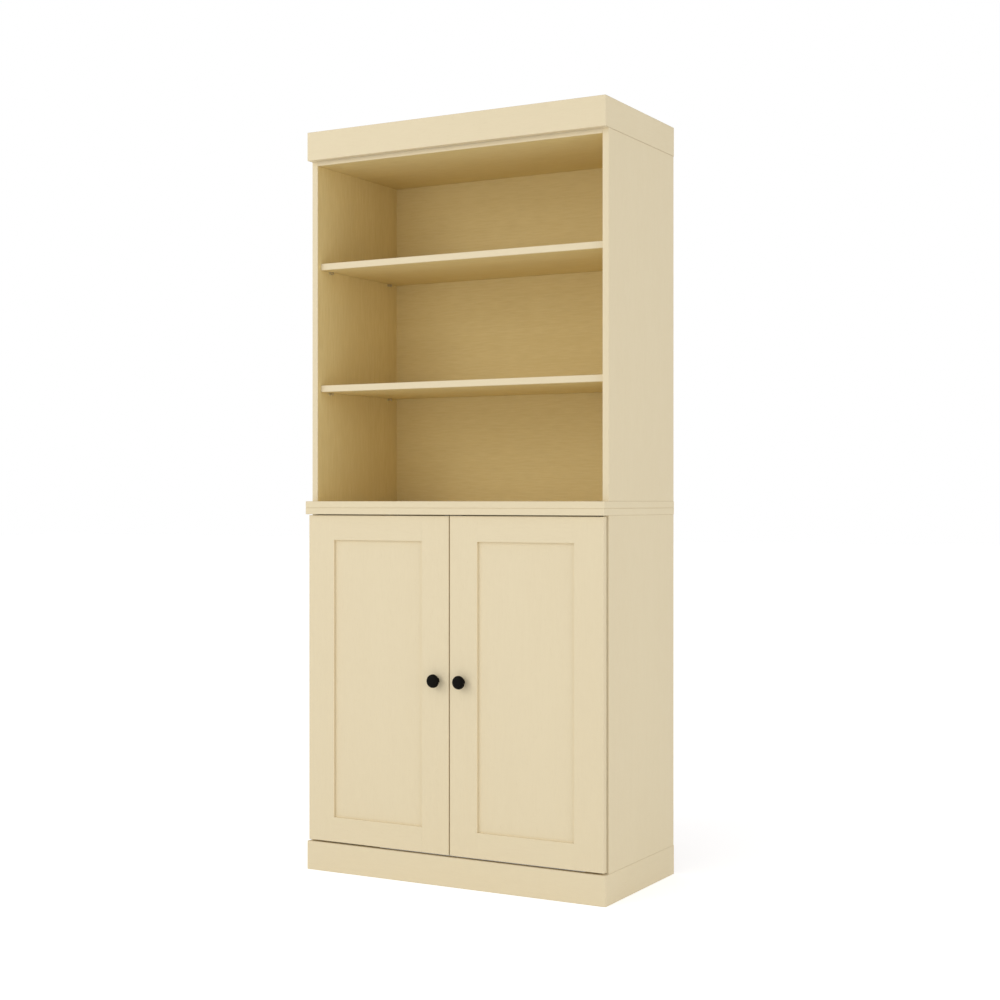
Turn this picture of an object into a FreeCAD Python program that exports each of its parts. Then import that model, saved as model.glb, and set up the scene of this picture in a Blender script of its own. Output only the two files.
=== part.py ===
"""Two-piece bookcase: an open hutch over a cabinet with two framed doors.

Row frame: origin on the floor, at the middle of the whole piece from side to
side and from the knobs to the back; +X to the right, -Y to the front, +Z up.
All sizes are millimetres.  The right-hand pieces are modelled; their
left-hand twins are mirror images about X = 0.
"""
import FreeCAD, Part
import math
import os
import re

import Sketcher

Vector = FreeCAD.Vector
doc = FreeCAD.newDocument("bookcase")

# --------------------------------------------------------------------------
# Driving sizes: each one can be changed by itself.
# --------------------------------------------------------------------------
SIZES = {
    # whole piece
    "overall_width": 812.8,
    "overall_depth": 393.7,         # of the body: the knobs stand in front of it
    "overall_height": 1816.1,
    "board_thick": 16.0,
    "base_height": 70.0,
    "lower_side_height": 805.0,
    "crown_height": 70.0,
    "crown_lap": 5.5,               # hutch top board above the tops of the hutch sides
    "carcass_inset": 1.0,           # sides inboard of the ends of counter, crown and base
    "counter_overhang": 7.5,        # counter ahead of doors, crown and base
    "edge_ease": 0.8,               # bevel of the edges that a hand meets
    "seat_gap": 0.1,                # glue line or slip gap between fitted faces
    # back panels
    "back_thick": 3.0,
    "rabbet_depth": 4.0,
    "rabbet_width": 8.0,
    "back_side_gap": 0.4,
    # shelves and their pins
    "shelf_thick": 16.0,
    "shelf_setback": 14.0,
    "shelf_end_gap": 0.75,
    "lower_shelf_rise": 270.6,
    "upper_shelf_rise": 572.3,
    "cabinet_shelf_rise": 386.0,
    "cabinet_shelf_setback": 40.0,
    "shelf_pin_margin": 40.0,
    "shelf_pin_diameter": 5.0,
    "shelf_pin_depth": 9.4,
    "shelf_pin_fit": 0.1,
    "lug_length": 8.0,
    "lug_width": 9.0,
    "lug_height": 6.0,
    # doors
    "door_gap": 3.0,                # between door backs and the front edges of the carcass
    "door_reveal": 4.0,             # side edge seen beside the door
    "door_centre_gap": 3.0,
    "door_bottom_gap": 4.5,
    "door_top_gap": 2.5,
    "stile_width": 74.0,
    "rail_width": 60.0,
    "panel_thick": 5.0,
    "panel_recess": 6.0,
    "groove_depth": 8.0,
    "groove_fit": 0.1,
    "tongue_gap": 0.5,
    # knobs
    "knob_diameter": 32.0,
    "knob_projection": 25.0,
    "knob_neck_diameter": 13.0,
    "knob_rim_width": 7.0,
    "knob_back_bevel": 1.6,
    "knob_face_bevel": 2.1,
    "knob_rise": 409.5,
    "knob_inset": 33.5,
    # hinges
    "hinge_end_distance": 100.0,
    "hinge_sweep_gap": 0.4,
    "pin_depth": 9.5,               # hinge pin in front of the door's back face
    "hinge_pin_diameter": 2.2,
    "hinge_pin_fit": 0.07,
    "cup_edge": 3.0,                # wood between cup and door edge
    "cup_bore_diameter": 35.0,
    "cup_bore_depth": 13.5,
    "cup_fit": 0.25,
    "cup_wall": 0.8,
    "cup_rim_thick": 1.0,
    "cup_rim_lip": 1.0,
    "cup_wing_width": 15.0,
    "cup_wing_length": 62.0,
    "cup_wing_offset": 9.5,
    "knuckle_diameter": 5.2,
    "knuckle_length": 8.0,
    "neck_thick": 2.0,
    "neck_drop": 0.4,               # middle of the neck in front of the pin's axis
    "neck_reach": 17.0,             # pin to the far face of the neck
    "neck_bend": 1.2,
    "arm_width": 13.0,
    "arm_height": 9.0,
    "arm_wall": 1.2,
    "arm_front_gap": 2.5,
    "arm_length": 60.0,
    "plate_setback": 37.0,
    "plate_thick": 1.6,
    "plate_width": 16.0,
    "plate_span": 50.0,
    "tower_length": 30.0,
    "tower_fit": 0.3,
    # catch under the counter and its strikes
    "catch_width": 48.0,
    "catch_depth": 16.0,
    "catch_height": 13.0,
    "catch_air": 0.3,
    "strike_width": 18.0,
    "strike_height": 20.0,
    "strike_thick": 1.2,
    "strike_inset": 4.0,
    "strike_drop": 1.5,
    # bolts that join the two units
    "bolt_diameter": 6.0,
    "bolt_fit": 0.2,
    "bolt_head_width": 12.0,        # across the corners
    "bolt_head_height": 4.0,
    "bolt_length": 27.0,
    "bolt_side_margin": 90.0,
    "bolt_front_margin": 180.0,
    # glue blocks inside crown and base
    "block_leg": 45.0,
    "base_block_height": 55.0,
}

sheet = doc.addObject("Spreadsheet::Sheet", "Sizes")
for row, (alias, number) in enumerate(SIZES.items(), start=1):
    sheet.set("A%d" % row, alias.replace("_", " "))
    sheet.set("B%d" % row, str(number))
    sheet.setAlias("B%d" % row, alias)
doc.recompute()

# --------------------------------------------------------------------------
# Places worked out from the driving sizes.
# --------------------------------------------------------------------------
PLACES = {
    # planes across the width
    "half_width": "overall_width / 2",
    "side_outer": "half_width - carcass_inset",
    "side_inner": "side_outer - board_thick",
    "trim_inner": "half_width - board_thick",
    # planes from front to back
    "knob_reach": "knob_projection - counter_overhang",
    "back_y": "(overall_depth + knob_reach) / 2",
    "front_y": "back_y - overall_depth",
    "fascia_y": "front_y + counter_overhang",
    "fascia_back_y": "fascia_y + board_thick",
    "carcass_y": "fascia_back_y + door_gap",
    "back_panel_y": "back_y - rabbet_depth",
    # levels
    "cabinet_floor_z": "base_height + board_thick",
    "counter_z": "base_height + lower_side_height",
    "hutch_base_z": "counter_z + board_thick",
    "hutch_floor_z": "hutch_base_z + board_thick",
    "crown_z": "overall_height - crown_height",
    "hutch_side_height": "crown_z - hutch_floor_z",
    "crown_floor_z": "crown_z + crown_lap",
    "ceiling_z": "crown_floor_z - board_thick",
    # back panels
    "back_half": "side_inner + rabbet_width - back_side_gap",
    # shelves
    "shelf_half": "side_inner - shelf_end_gap",
    "shelf_back_y": "back_panel_y - shelf_end_gap",
    "shelf_y": "carcass_y + shelf_setback",
    "lower_shelf_z": "hutch_floor_z + lower_shelf_rise",
    "upper_shelf_z": "hutch_floor_z + upper_shelf_rise",
    "cabinet_shelf_z": "cabinet_floor_z + cabinet_shelf_rise",
    "cabinet_shelf_y": "carcass_y + cabinet_shelf_setback",
    "pin_drop": "lug_height / 2 + seat_gap",
    "pin_rear_y": "shelf_back_y - shelf_pin_margin",
    "shelf_pin_hole": "shelf_pin_diameter + 2 * shelf_pin_fit",
    # doors
    "door_outer": "side_outer - door_reveal",
    "door_meet": "door_centre_gap / 2",
    "door_z": "base_height + door_bottom_gap",
    "door_height": "counter_z - door_top_gap - door_z",
    "opening_low": "door_meet + stile_width",
    "opening_high": "door_outer - stile_width",
    "groove_front": "panel_recess - groove_fit",
    "groove_back": "panel_recess + panel_thick + groove_fit",
    "tongue_length": "groove_depth - tongue_gap",
    # knobs
    "knob_x": "door_meet + knob_inset",
    "knob_z": "door_z + knob_rise",
    "knob_radius": "knob_diameter / 2",
    "knob_rim_front": "knob_projection - knob_face_bevel",
    "knob_rim_back": "knob_rim_front - knob_rim_width",
    "knob_head_back": "knob_rim_back - knob_back_bevel",
    # hinges: the pin lies as far inboard as the door's back corner needs to
    # clear the side's front edge; shapes are measured from the pin
    "sweep_gap": "door_gap - hinge_sweep_gap",
    "pin_inset": "sqrt(sweep_gap ^ 2 + 2 * pin_depth * sweep_gap)",
    "hinge_x": "door_outer - pin_inset",
    "hinge_y": "fascia_back_y - pin_depth",
    "lower_hinge_z": "door_z + hinge_end_distance",
    "upper_hinge_z": "door_z + door_height - hinge_end_distance",
    "cup_x": "door_outer - cup_edge - cup_bore_diameter / 2",
    "pin_offset": "hinge_x - cup_x",
    "cup_radius": "cup_bore_diameter / 2 - cup_fit",
    "cup_inner_radius": "cup_radius - cup_wall",
    "cup_depth": "cup_bore_depth - cup_fit",
    "cup_rim_radius": "cup_bore_diameter / 2 + cup_rim_lip",
    "wing_x": "-pin_offset - cup_wing_offset",
    "pin_half": "sqrt(cup_inner_radius ^ 2 - (pin_offset + hinge_pin_diameter / 2) ^ 2)",
    "neck_front": "-neck_drop - neck_thick / 2",
    "neck_back": "-neck_drop + neck_thick / 2",
    "neck_near": "-neck_reach + neck_thick",
    "arm_start": "carcass_y - hinge_y + arm_front_gap",
    "arm_end": "carcass_y - hinge_y + arm_length",
    "web_under": "-neck_reach + arm_wall",
    "side_face": "side_inner - hinge_x - seat_gap",
    "tower_y": "carcass_y - hinge_y + plate_setback",
    "tower_half": "arm_width / 2 - arm_wall - tower_fit",
    # catch
    "catch_y": "fascia_back_y + strike_thick + catch_air",
    "catch_z": "counter_z - catch_height",
    "strike_z": "door_z + door_height - strike_drop - strike_height",
    "strike_x": "door_meet + strike_inset",
    # bolts
    "bolt_x": "side_inner - bolt_side_margin",
    "bolt_y": "carcass_y + bolt_front_margin",
    "bolt_hole": "bolt_diameter + 2 * bolt_fit",
    # glue blocks and rails inside the trim frames
    "block_front_y": "fascia_back_y + seat_gap",
    "block_rear_y": "back_y - board_thick - seat_gap",
    "block_x": "trim_inner - seat_gap",
    "crown_rail_height": "crown_height - crown_lap - seat_gap",
    "crown_block_height": "crown_rail_height - board_thick - seat_gap",
}

WORD = re.compile(r"[a-z]\w*")


def formula(text):
    """The text as an expression: sizes read from the sheet, places from their set."""
    def owner(match):
        word = match.group(0)
        if word in SIZES:
            return "Sizes." + word
        if word in PLACES:
            return "Places." + word
        return word
    return WORD.sub(owner, text)


places = doc.addObject("App::VarSet", "Places")
for place, text in PLACES.items():
    places.addProperty("App::PropertyFloat", place, "Places")
    places.setExpression(place, formula(text))
gauge = doc.addObject("App::VarSet", "Gauge")
gauge.addProperty("App::PropertyFloat", "Reading", "Gauge")
doc.recompute()

NODES = []                      # the sub-parts, in the order they are made
CLOSE = 1e-4                    # two places nearer than this are the same


# --------------------------------------------------------------------------
# Modelling helpers
# --------------------------------------------------------------------------
def bind(thing, prop, text):
    """Bind one property to a formula of the sizes."""
    thing.setExpression(prop, formula(text))


def reading(text):
    """The present value of a formula."""
    bind(gauge, "Reading", text)
    doc.recompute()
    return gauge.Reading


def place_at(thing, x, y, z):
    """Bind an object's position."""
    for axis, text in zip("xyz", (x, y, z)):
        bind(thing, "Placement.Base." + axis, text)


def new_body(name, x="0", y="0", z="0", node=True):
    """An empty body at a bound position; node=False makes a pattern to copy."""
    body = doc.addObject("PartDesign::Body", name)
    body.Label = name
    place_at(body, x, y, z)
    if node:
        NODES.append(body)
    return body


def sketch_on(body, role, lift="0"):
    """A sketch on one of the body's origin planes, lifted along its normal."""
    sketch = body.newObject("Sketcher::SketchObject", body.Name + "_sketch")
    plane = [entry for entry in body.Origin.OriginFeatures if entry.Role == role][0]
    sketch.AttachmentSupport = [(plane, "")]
    sketch.MapMode = "FlatFace"
    bind(sketch, "AttachmentOffset.Base.z", lift)
    return sketch


def hold_point(sketch, edge, end, x, y):
    """Hold one sketch point at (x, y) from the sketch's origin."""
    for kind, axis, text in (("DistanceX", -2, x), ("DistanceY", -1, y)):
        if text == "0":
            sketch.addConstraint(Sketcher.Constraint("PointOnObject", edge, end, axis))
        else:
            index = sketch.addConstraint(Sketcher.Constraint(kind, -1, 1, edge, end, 1.0))
            bind(sketch, "Constraints[%d]" % index, text)


def outline(sketch, corners):
    """A closed straight-sided outline through the corners, in order."""
    first = sketch.GeometryCount
    count = len(corners)
    for step in range(count):
        turn = 2 * math.pi / count
        start = Vector(math.cos(step * turn), math.sin(step * turn), 0)
        finish = Vector(math.cos((step + 1) * turn), math.sin((step + 1) * turn), 0)
        sketch.addGeometry(Part.LineSegment(start, finish))
    for step, (x, y) in enumerate(corners):
        following = first + (step + 1) % count
        sketch.addConstraint(Sketcher.Constraint("Coincident", first + step, 2, following, 1))
        hold_point(sketch, first + step, 1, x, y)
    return sketch


def rectangle(sketch, x_low, x_high, y_low, y_high):
    """A rectangular outline."""
    return outline(sketch, [(x_low, y_low), (x_high, y_low), (x_high, y_high), (x_low, y_high)])


def circles(sketch, centres, diameter):
    """Equal circles at the given centres."""
    for x, y in centres:
        edge = sketch.addGeometry(Part.Circle(Vector(0, 0, 0), Vector(0, 0, 1), 1.0))
        hold_point(sketch, edge, 3, x, y)
        index = sketch.addConstraint(Sketcher.Constraint("Diameter", edge, 1.0))
        bind(sketch, "Constraints[%d]" % index, diameter)
    return sketch


def pad(body, sketch, length, back=False, side="One side"):
    """Add the sketch's area, carried along its normal or back from it."""
    feature = body.newObject("PartDesign::Pad", body.Name + "_pad")
    feature.Profile = sketch
    feature.SideType = side
    feature.Reversed = back
    bind(feature, "Length", length)
    return feature


def pocket(body, sketch, length, back=False, side="One side"):
    """Cut the sketch's area away, and check that the cut took something."""
    doc.recompute()
    before = body.Shape.Volume
    feature = body.newObject("PartDesign::Pocket", body.Name + "_pocket")
    feature.Profile = sketch
    feature.SideType = side
    feature.Reversed = back
    bind(feature, "Length", length)
    doc.recompute()
    if "Invalid" in feature.State or not body.Shape.Volume < before:
        raise RuntimeError("%s cuts nothing" % feature.Name)
    return feature


def pegs(body, role, lift, centres, diameter, length, back=False):
    """Round pins standing on one plane."""
    return pad(body, circles(sketch_on(body, role, lift), centres, diameter), length, back)


def holes(body, role, lift, centres, diameter, depth, back=False):
    """Round holes drilled from one plane, against its normal or along it."""
    return pocket(body, circles(sketch_on(body, role, lift), centres, diameter), depth, back)


def block(name, x_low, x_high, y_low, y_high, z, height):
    """A square-edged board: a rectangle on the floor plane, padded upwards."""
    body = new_body(name, "0", "0", z)
    pad(body, rectangle(sketch_on(body, "XY_Plane"), x_low, x_high, y_low, y_high), height)
    return body


def along(edge, axis):
    """Whether a straight edge runs along the axis named x, y or z."""
    span = edge.Vertexes[-1].Point - edge.Vertexes[0].Point
    return abs(abs(getattr(span, axis)) - edge.Length) < CLOSE


def at(edge, axis, place):
    """Whether an edge's middle lies at a place on the axis named x, y or z."""
    return abs(getattr(edge.CenterOfMass, axis) - place) < CLOSE


def edge_names(body, rules):
    """Names of the body's straight edges that meet a rule: the axis they run along and their planes."""
    wanted = [(run, {axis: reading(text) for axis, text in planes.items()}) for run, planes in rules]
    names = [
        "Edge%d" % number
        for number, edge in enumerate(body.Tip.Shape.Edges, start=1)
        if isinstance(edge.Curve, Part.Line)
        and any(along(edge, run) and all(at(edge, axis, place) for axis, place in planes.items())
                for run, planes in wanted)
    ]
    if not names:
        raise RuntimeError("%s has no such edge" % body.Name)
    return names


def dress(body, kind, prop, size, rules):
    """A chamfer or a fillet along the edges that meet the rules."""
    base = (body.Tip, edge_names(body, rules))
    feature = body.newObject("PartDesign::" + kind, "%s_%s" % (body.Name, kind.lower()))
    feature.Base = base
    bind(feature, prop, size)


def ease(body, *rules):
    """Take the sharp edge off a board."""
    dress(body, "Chamfer", "Size", "edge_ease", rules)


def bend(body, radius, *rules):
    """Round the corner of a bent strip."""
    dress(body, "Fillet", "Radius", radius, rules)


def mirrored(source, name):
    """The left-hand twin of a right-hand piece."""
    twin = doc.addObject("Part::Mirroring", name)
    twin.Label = name
    twin.Source = source
    twin.Base = Vector(0, 0, 0)
    twin.Normal = Vector(1, 0, 0)
    NODES.append(twin)
    return twin


def copies(name, pattern, spots):
    """One node that holds a copy of the pattern at each spot."""
    links = []
    for x, y, z in spots:
        link = doc.addObject("App::Link", name + "_copy")
        link.LinkedObject = pattern
        place_at(link, x, y, z)
        links.append(link)
    group = doc.addObject("Part::Compound", name)
    group.Label = name
    group.Links = links
    NODES.append(group)
    return group


# --------------------------------------------------------------------------
# Base and crown frames: mitred fascia and side boards, a rear rail, glue blocks
# --------------------------------------------------------------------------
def trim_front(name, z, height):
    """Fascia board as long as the piece is wide, both ends mitred."""
    body = new_body(name, "0", "0", z)
    pad(body, outline(sketch_on(body, "XY_Plane"), [
        ("-half_width", "fascia_y"),
        ("half_width", "fascia_y"),
        ("trim_inner", "fascia_back_y"),
        ("-trim_inner", "fascia_back_y"),
    ]), height)
    ease(body, ("x", {"y": "fascia_y"}))


def trim_sides(frame, z, height):
    """Side boards of a trim frame, mitred at the front end."""
    body = new_body(frame + "_right_board", "0", "0", z)
    pad(body, outline(sketch_on(body, "XY_Plane"), [
        ("half_width", "fascia_y + seat_gap"),
        ("half_width", "back_y"),
        ("trim_inner", "back_y"),
        ("trim_inner", "fascia_back_y + seat_gap"),
    ]), height)
    ease(body, ("y", {"x": "half_width"}))
    mirrored(body, frame + "_left_board")


def trim_rail(name, z, height):
    """Rear rail between the side boards of a trim frame."""
    block(name, "-block_x", "block_x", "back_y - board_thick", "back_y", z, height)


def corner_blocks(name, z, height):
    """Four triangular glue blocks in the corners of a trim frame."""
    body = new_body(name, "0", "0", z)
    for sign in ("", "-"):
        for corner_y, toward in (("block_front_y", "+"), ("block_rear_y", "-")):
            pad(body, outline(sketch_on(body, "XY_Plane"), [
                (sign + "block_x", corner_y),
                (sign + "block_x", "%s %s block_leg" % (corner_y, toward)),
                (sign + "(block_x - block_leg)", corner_y),
            ]), height)


trim_front("base_front_board", "0", "base_height")
trim_sides("base", "0", "base_height")
trim_rail("base_rear_rail", "0", "base_height")
corner_blocks("base_corner_blocks", "base_height - base_block_height - seat_gap", "base_block_height")

trim_front("crown_front_board", "crown_z", "crown_height")
trim_sides("crown", "crown_z", "crown_height")
trim_rail("crown_rear_rail", "crown_floor_z + seat_gap", "crown_rail_height")
corner_blocks("crown_corner_blocks", "crown_floor_z + seat_gap", "crown_block_height")
block("crown_top_panel", "-block_x", "block_x", "block_front_y", "block_rear_y",
      "overall_height - board_thick", "board_thick")


# --------------------------------------------------------------------------
# Carcass: sides, the boards between them, and the two stacked boards between
# cabinet and hutch
# --------------------------------------------------------------------------
def side_board(name, z, height, shelf_pin_holes):
    """Upright side, rabbeted down its rear inner edge; holes are (y, level)."""
    body = new_body(name, "0", "0", z)
    pad(body, outline(sketch_on(body, "XY_Plane"), [
        ("side_inner", "carcass_y"),
        ("side_outer", "carcass_y"),
        ("side_outer", "back_y"),
        ("side_inner + rabbet_width", "back_y"),
        ("side_inner + rabbet_width", "back_panel_y"),
        ("side_inner", "back_panel_y"),
    ]), height)
    ease(body, ("z", {"y": "carcass_y"}))
    centres = [(y, "%s - pin_drop - (%s)" % (level, z)) for y, level in shelf_pin_holes]
    holes(body, "YZ_Plane", "side_inner", centres, "shelf_pin_hole",
          "shelf_pin_depth + shelf_pin_fit", True)
    return body


def pin_row(shelf_front, levels):
    """Places (y, level) of the front and rear pins under each shelf."""
    return [(y, level) for level in levels for y in (shelf_front + " + shelf_pin_margin", "pin_rear_y")]


HUTCH_PINS = pin_row("shelf_y", ("lower_shelf_z", "upper_shelf_z"))
CABINET_PINS = pin_row("cabinet_shelf_y", ("cabinet_shelf_z",))
BOLTS = [("bolt_x", "bolt_y"), ("-bolt_x", "bolt_y")]

hutch_side = side_board("hutch_right_side", "hutch_floor_z", "hutch_side_height", HUTCH_PINS)
mirrored(hutch_side, "hutch_left_side")
lower_side = side_board("lower_right_side", "base_height", "lower_side_height", CABINET_PINS)
mirrored(lower_side, "lower_left_side")


def inner_board(name, z):
    """Fixed board between the sides, from their front edges to the back panel."""
    body = block(name, "-(side_inner - seat_gap)", "side_inner - seat_gap",
                 "carcass_y", "back_panel_y", z, "board_thick")
    ease(body, ("x", {"y": "carcass_y"}))


def counter_board(name, z, bolt_hole_depth):
    """Board as wide and deep as the whole body, with holes for the joining bolts."""
    body = block(name, "-half_width", "half_width", "front_y", "back_y", z, "board_thick")
    ease(body,
         ("x", {"y": "front_y"}),
         ("y", {"x": "half_width"}),
         ("y", {"x": "-half_width"}))
    holes(body, "XY_Plane", "0", BOLTS, "bolt_hole", bolt_hole_depth, True)


inner_board("cabinet_floor_board", "base_height")
inner_board("hutch_top_board", "ceiling_z")
counter_board("counter_top", "counter_z", "board_thick")
counter_board("hutch_bottom_board", "hutch_base_z", "bolt_length - board_thick + bolt_fit")


def back_panel(name, z, height):
    """Thin back between the rabbets of the sides, clear of the boards above and below."""
    block(name, "-back_half", "back_half", "back_panel_y + seat_gap",
          "back_panel_y + seat_gap + back_thick", z + " + seat_gap", height + " - 2 * seat_gap")


back_panel("hutch_back_panel", "hutch_floor_z", "hutch_side_height")
back_panel("lower_back_panel", "base_height", "lower_side_height")


# --------------------------------------------------------------------------
# Loose shelves and their pins
# --------------------------------------------------------------------------
def shelf(name, front, z):
    """A loose shelf that rests on four pins."""
    body = block(name, "-shelf_half", "shelf_half", front, "shelf_back_y", z, "shelf_thick")
    ease(body, ("x", {"y": front}))


def shelf_pins(name, row):
    """Pins at both ends of the shelves: a round shank in the side, a square lug under the shelf."""
    body = new_body(name)
    for sign, outward in (("", False), ("-", True)):
        lift = sign + "(side_inner - seat_gap)"
        centres = [(y, level + " - pin_drop") for y, level in row]
        pegs(body, "YZ_Plane", lift, centres, "shelf_pin_diameter", "shelf_pin_depth", outward)
        lugs = sketch_on(body, "YZ_Plane", lift)
        for y, level in centres:
            rectangle(lugs, y + " - lug_width / 2", y + " + lug_width / 2",
                      level + " - lug_height / 2", level + " + lug_height / 2")
        pad(body, lugs, "lug_length", not outward)


shelf("lower_shelf", "shelf_y", "lower_shelf_z")
shelf("upper_shelf", "shelf_y", "upper_shelf_z")
shelf("cabinet_shelf", "cabinet_shelf_y", "cabinet_shelf_z")
shelf_pins("hutch_shelf_pins", HUTCH_PINS)
shelf_pins("cabinet_shelf_pins", CABINET_PINS)

# --------------------------------------------------------------------------
# Bolts up through the counter into the hutch's bottom board
# --------------------------------------------------------------------------
bolt = new_body("bolt_pattern", node=False)
HEXAGON = [
    ("bolt_head_width / 2 * %.6f" % math.cos(math.radians(turn)),
     "bolt_head_width / 2 * %.6f" % math.sin(math.radians(turn)))
    for turn in range(30, 390, 60)
]
pad(bolt, outline(sketch_on(bolt, "XY_Plane"), HEXAGON), "bolt_head_height", True)
pegs(bolt, "XY_Plane", "0", [("0", "0")], "bolt_diameter", "bolt_length")
copies("joining_bolts", bolt, [(x, y, "counter_z - seat_gap") for x, y in BOLTS])


# --------------------------------------------------------------------------
# Right door, closed.  In each piece y = 0 is the door's front face and
# y = board_thick its back; z is measured from the piece's own foot.
# --------------------------------------------------------------------------
def door_body(name, z="door_z"):
    """A piece of the right door."""
    return new_body(name, "0", "fascia_y", z)


HINGE_ZS = ("lower_hinge_z", "upper_hinge_z")

hinge_stile = door_body("right_hinge_stile")
pad(hinge_stile, outline(sketch_on(hinge_stile, "XY_Plane"), [
    ("door_outer", "0"),
    ("door_outer", "board_thick"),
    ("opening_high", "board_thick"),
    ("opening_high", "groove_back"),
    ("opening_high + groove_depth", "groove_back"),
    ("opening_high + groove_depth", "groove_front"),
    ("opening_high", "groove_front"),
    ("opening_high", "0"),
]), "door_height")
ease(hinge_stile, ("z", {"x": "door_outer"}), ("x", {"y": "0"}))
holes(hinge_stile, "XZ_Plane", "-board_thick", [("cup_x", z + " - door_z") for z in HINGE_ZS],
      "cup_bore_diameter", "cup_bore_depth", True)

meeting_stile = door_body("right_meeting_stile")
pad(meeting_stile, outline(sketch_on(meeting_stile, "XY_Plane"), [
    ("door_meet", "0"),
    ("opening_low", "0"),
    ("opening_low", "groove_front"),
    ("opening_low - groove_depth", "groove_front"),
    ("opening_low - groove_depth", "groove_back"),
    ("opening_low", "groove_back"),
    ("opening_low", "board_thick"),
    ("door_meet", "board_thick"),
]), "door_height")
ease(meeting_stile, ("z", {"x": "door_meet"}), ("x", {"y": "0"}))


def rail(name, z, mouth, inside, far):
    """Rail with a panel groove in the edge at mouth and a stub tongue at each end."""
    body = door_body(name, z)
    pad(body, outline(sketch_on(body, "YZ_Plane", "opening_low + seat_gap"), [
        ("0", mouth),
        ("groove_front", mouth),
        ("groove_front", inside),
        ("groove_back", inside),
        ("groove_back", mouth),
        ("board_thick", mouth),
        ("board_thick", far),
        ("0", far),
    ]), "opening_high - opening_low - 2 * seat_gap")
    ease(body, ("x", {"y": "0", "z": far}))
    tongue = sketch_on(body, "YZ_Plane", "opening_low - tongue_length")
    rectangle(tongue, "panel_recess", "panel_recess + panel_thick", inside, far)
    pad(body, tongue, "opening_high - opening_low + 2 * tongue_length")
    return body


top_rail = rail("right_top_rail", "door_z + door_height - rail_width",
                "0", "groove_depth", "rail_width")
bottom_rail = rail("right_bottom_rail", "door_z", "rail_width", "rail_width - groove_depth", "0")

door_panel = door_body("right_door_panel", "door_z + rail_width - tongue_length")
pad(door_panel, rectangle(sketch_on(door_panel, "XY_Plane"),
                          "opening_low - tongue_length", "opening_high + tongue_length",
                          "panel_recess", "panel_recess + panel_thick"),
    "door_height - 2 * rail_width + 2 * tongue_length")

# --------------------------------------------------------------------------
# Knob, turned about its own axis: a neck on the door's face and a round head
# with bevels behind and in front of its rim
# --------------------------------------------------------------------------
knob = new_body("right_knob", "knob_x", "fascia_y", "knob_z")
knob_half = outline(sketch_on(knob, "XY_Plane"), [
    ("0", "0"),
    ("knob_neck_diameter / 2", "0"),
    ("knob_neck_diameter / 2", "-knob_head_back"),
    ("knob_radius - knob_back_bevel", "-knob_head_back"),
    ("knob_radius", "-knob_rim_back"),
    ("knob_radius", "-knob_rim_front"),
    ("knob_radius - knob_face_bevel", "-knob_projection"),
    ("0", "-knob_projection"),
])
turned = knob.newObject("PartDesign::Revolution", "right_knob_turned")
turned.Profile = knob_half
turned.ReferenceAxis = (knob_half, ["V_Axis"])
turned.Angle = 360

# --------------------------------------------------------------------------
# Hinges: a pressed cup in the door with a pin across it, and an arm on the
# carcass whose neck reaches round the side's edge into the cup.  Each
# pattern has its origin on the pin; a node holds the two of one door.
# --------------------------------------------------------------------------
CUP_AXIS = [("-pin_offset", "0")]
cup = new_body("cup_pattern", node=False)
pegs(cup, "XZ_Plane", "-pin_depth", CUP_AXIS, "2 * cup_rim_radius", "cup_rim_thick", True)
wing = rectangle(sketch_on(cup, "XZ_Plane", "-pin_depth"),
                 "wing_x - cup_wing_width / 2", "wing_x + cup_wing_width / 2",
                 "-cup_wing_length / 2", "cup_wing_length / 2")
pad(cup, wing, "cup_rim_thick", True)
pegs(cup, "XZ_Plane", "-pin_depth", CUP_AXIS, "2 * cup_radius", "cup_depth")
holes(cup, "XZ_Plane", "-pin_depth - cup_rim_thick", CUP_AXIS, "2 * cup_inner_radius",
      "cup_depth + cup_rim_thick - cup_wall", True)

pin = new_body("pin_pattern", node=False)
pegs(pin, "XY_Plane", "-pin_half", [("0", "0")], "hinge_pin_diameter", "2 * pin_half")

arm = new_body("arm_pattern", node=False)
pad(arm, outline(sketch_on(arm, "XY_Plane"), [
    ("0", "neck_front"),
    ("0", "neck_back"),
    ("neck_near", "neck_back"),
    ("neck_near", "arm_start + arm_wall"),
    ("-neck_reach", "arm_start + arm_wall"),
    ("-neck_reach", "neck_front"),
]), "knuckle_length", side="Symmetric")
bend(arm, "neck_bend + neck_thick", ("z", {"x": "-neck_reach", "y": "neck_front"}))
bend(arm, "neck_bend", ("z", {"x": "neck_near", "y": "neck_back"}))
pad(arm, circles(sketch_on(arm, "XY_Plane"), [("0", "0")], "knuckle_diameter"),
    "knuckle_length", side="Symmetric")
pad(arm, rectangle(sketch_on(arm, "XY_Plane"),
                   "-neck_reach", "-neck_reach + arm_height", "arm_start", "arm_end"),
    "arm_width", side="Symmetric")
pocket(arm, rectangle(sketch_on(arm, "XY_Plane"),
                      "web_under", "-neck_reach + 2 * arm_height",
                      "arm_start + arm_wall", "arm_end + arm_wall"),
       "arm_width - 2 * arm_wall", side="Symmetric")
pocket(arm, circles(sketch_on(arm, "XY_Plane"), [("0", "0")],
                    "hinge_pin_diameter + 2 * hinge_pin_fit"),
       "2 * knuckle_length", side="Symmetric")

plate = new_body("plate_pattern", node=False)
pad(plate, rectangle(sketch_on(plate, "YZ_Plane", "side_face"),
                     "tower_y - plate_width / 2", "tower_y + plate_width / 2",
                     "-plate_span / 2", "plate_span / 2"),
    "plate_thick", True)
pad(plate, rectangle(sketch_on(plate, "YZ_Plane", "side_face"),
                     "tower_y - tower_length / 2", "tower_y + tower_length / 2",
                     "-tower_half", "tower_half"),
    "side_face - web_under - seat_gap", True)

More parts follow.
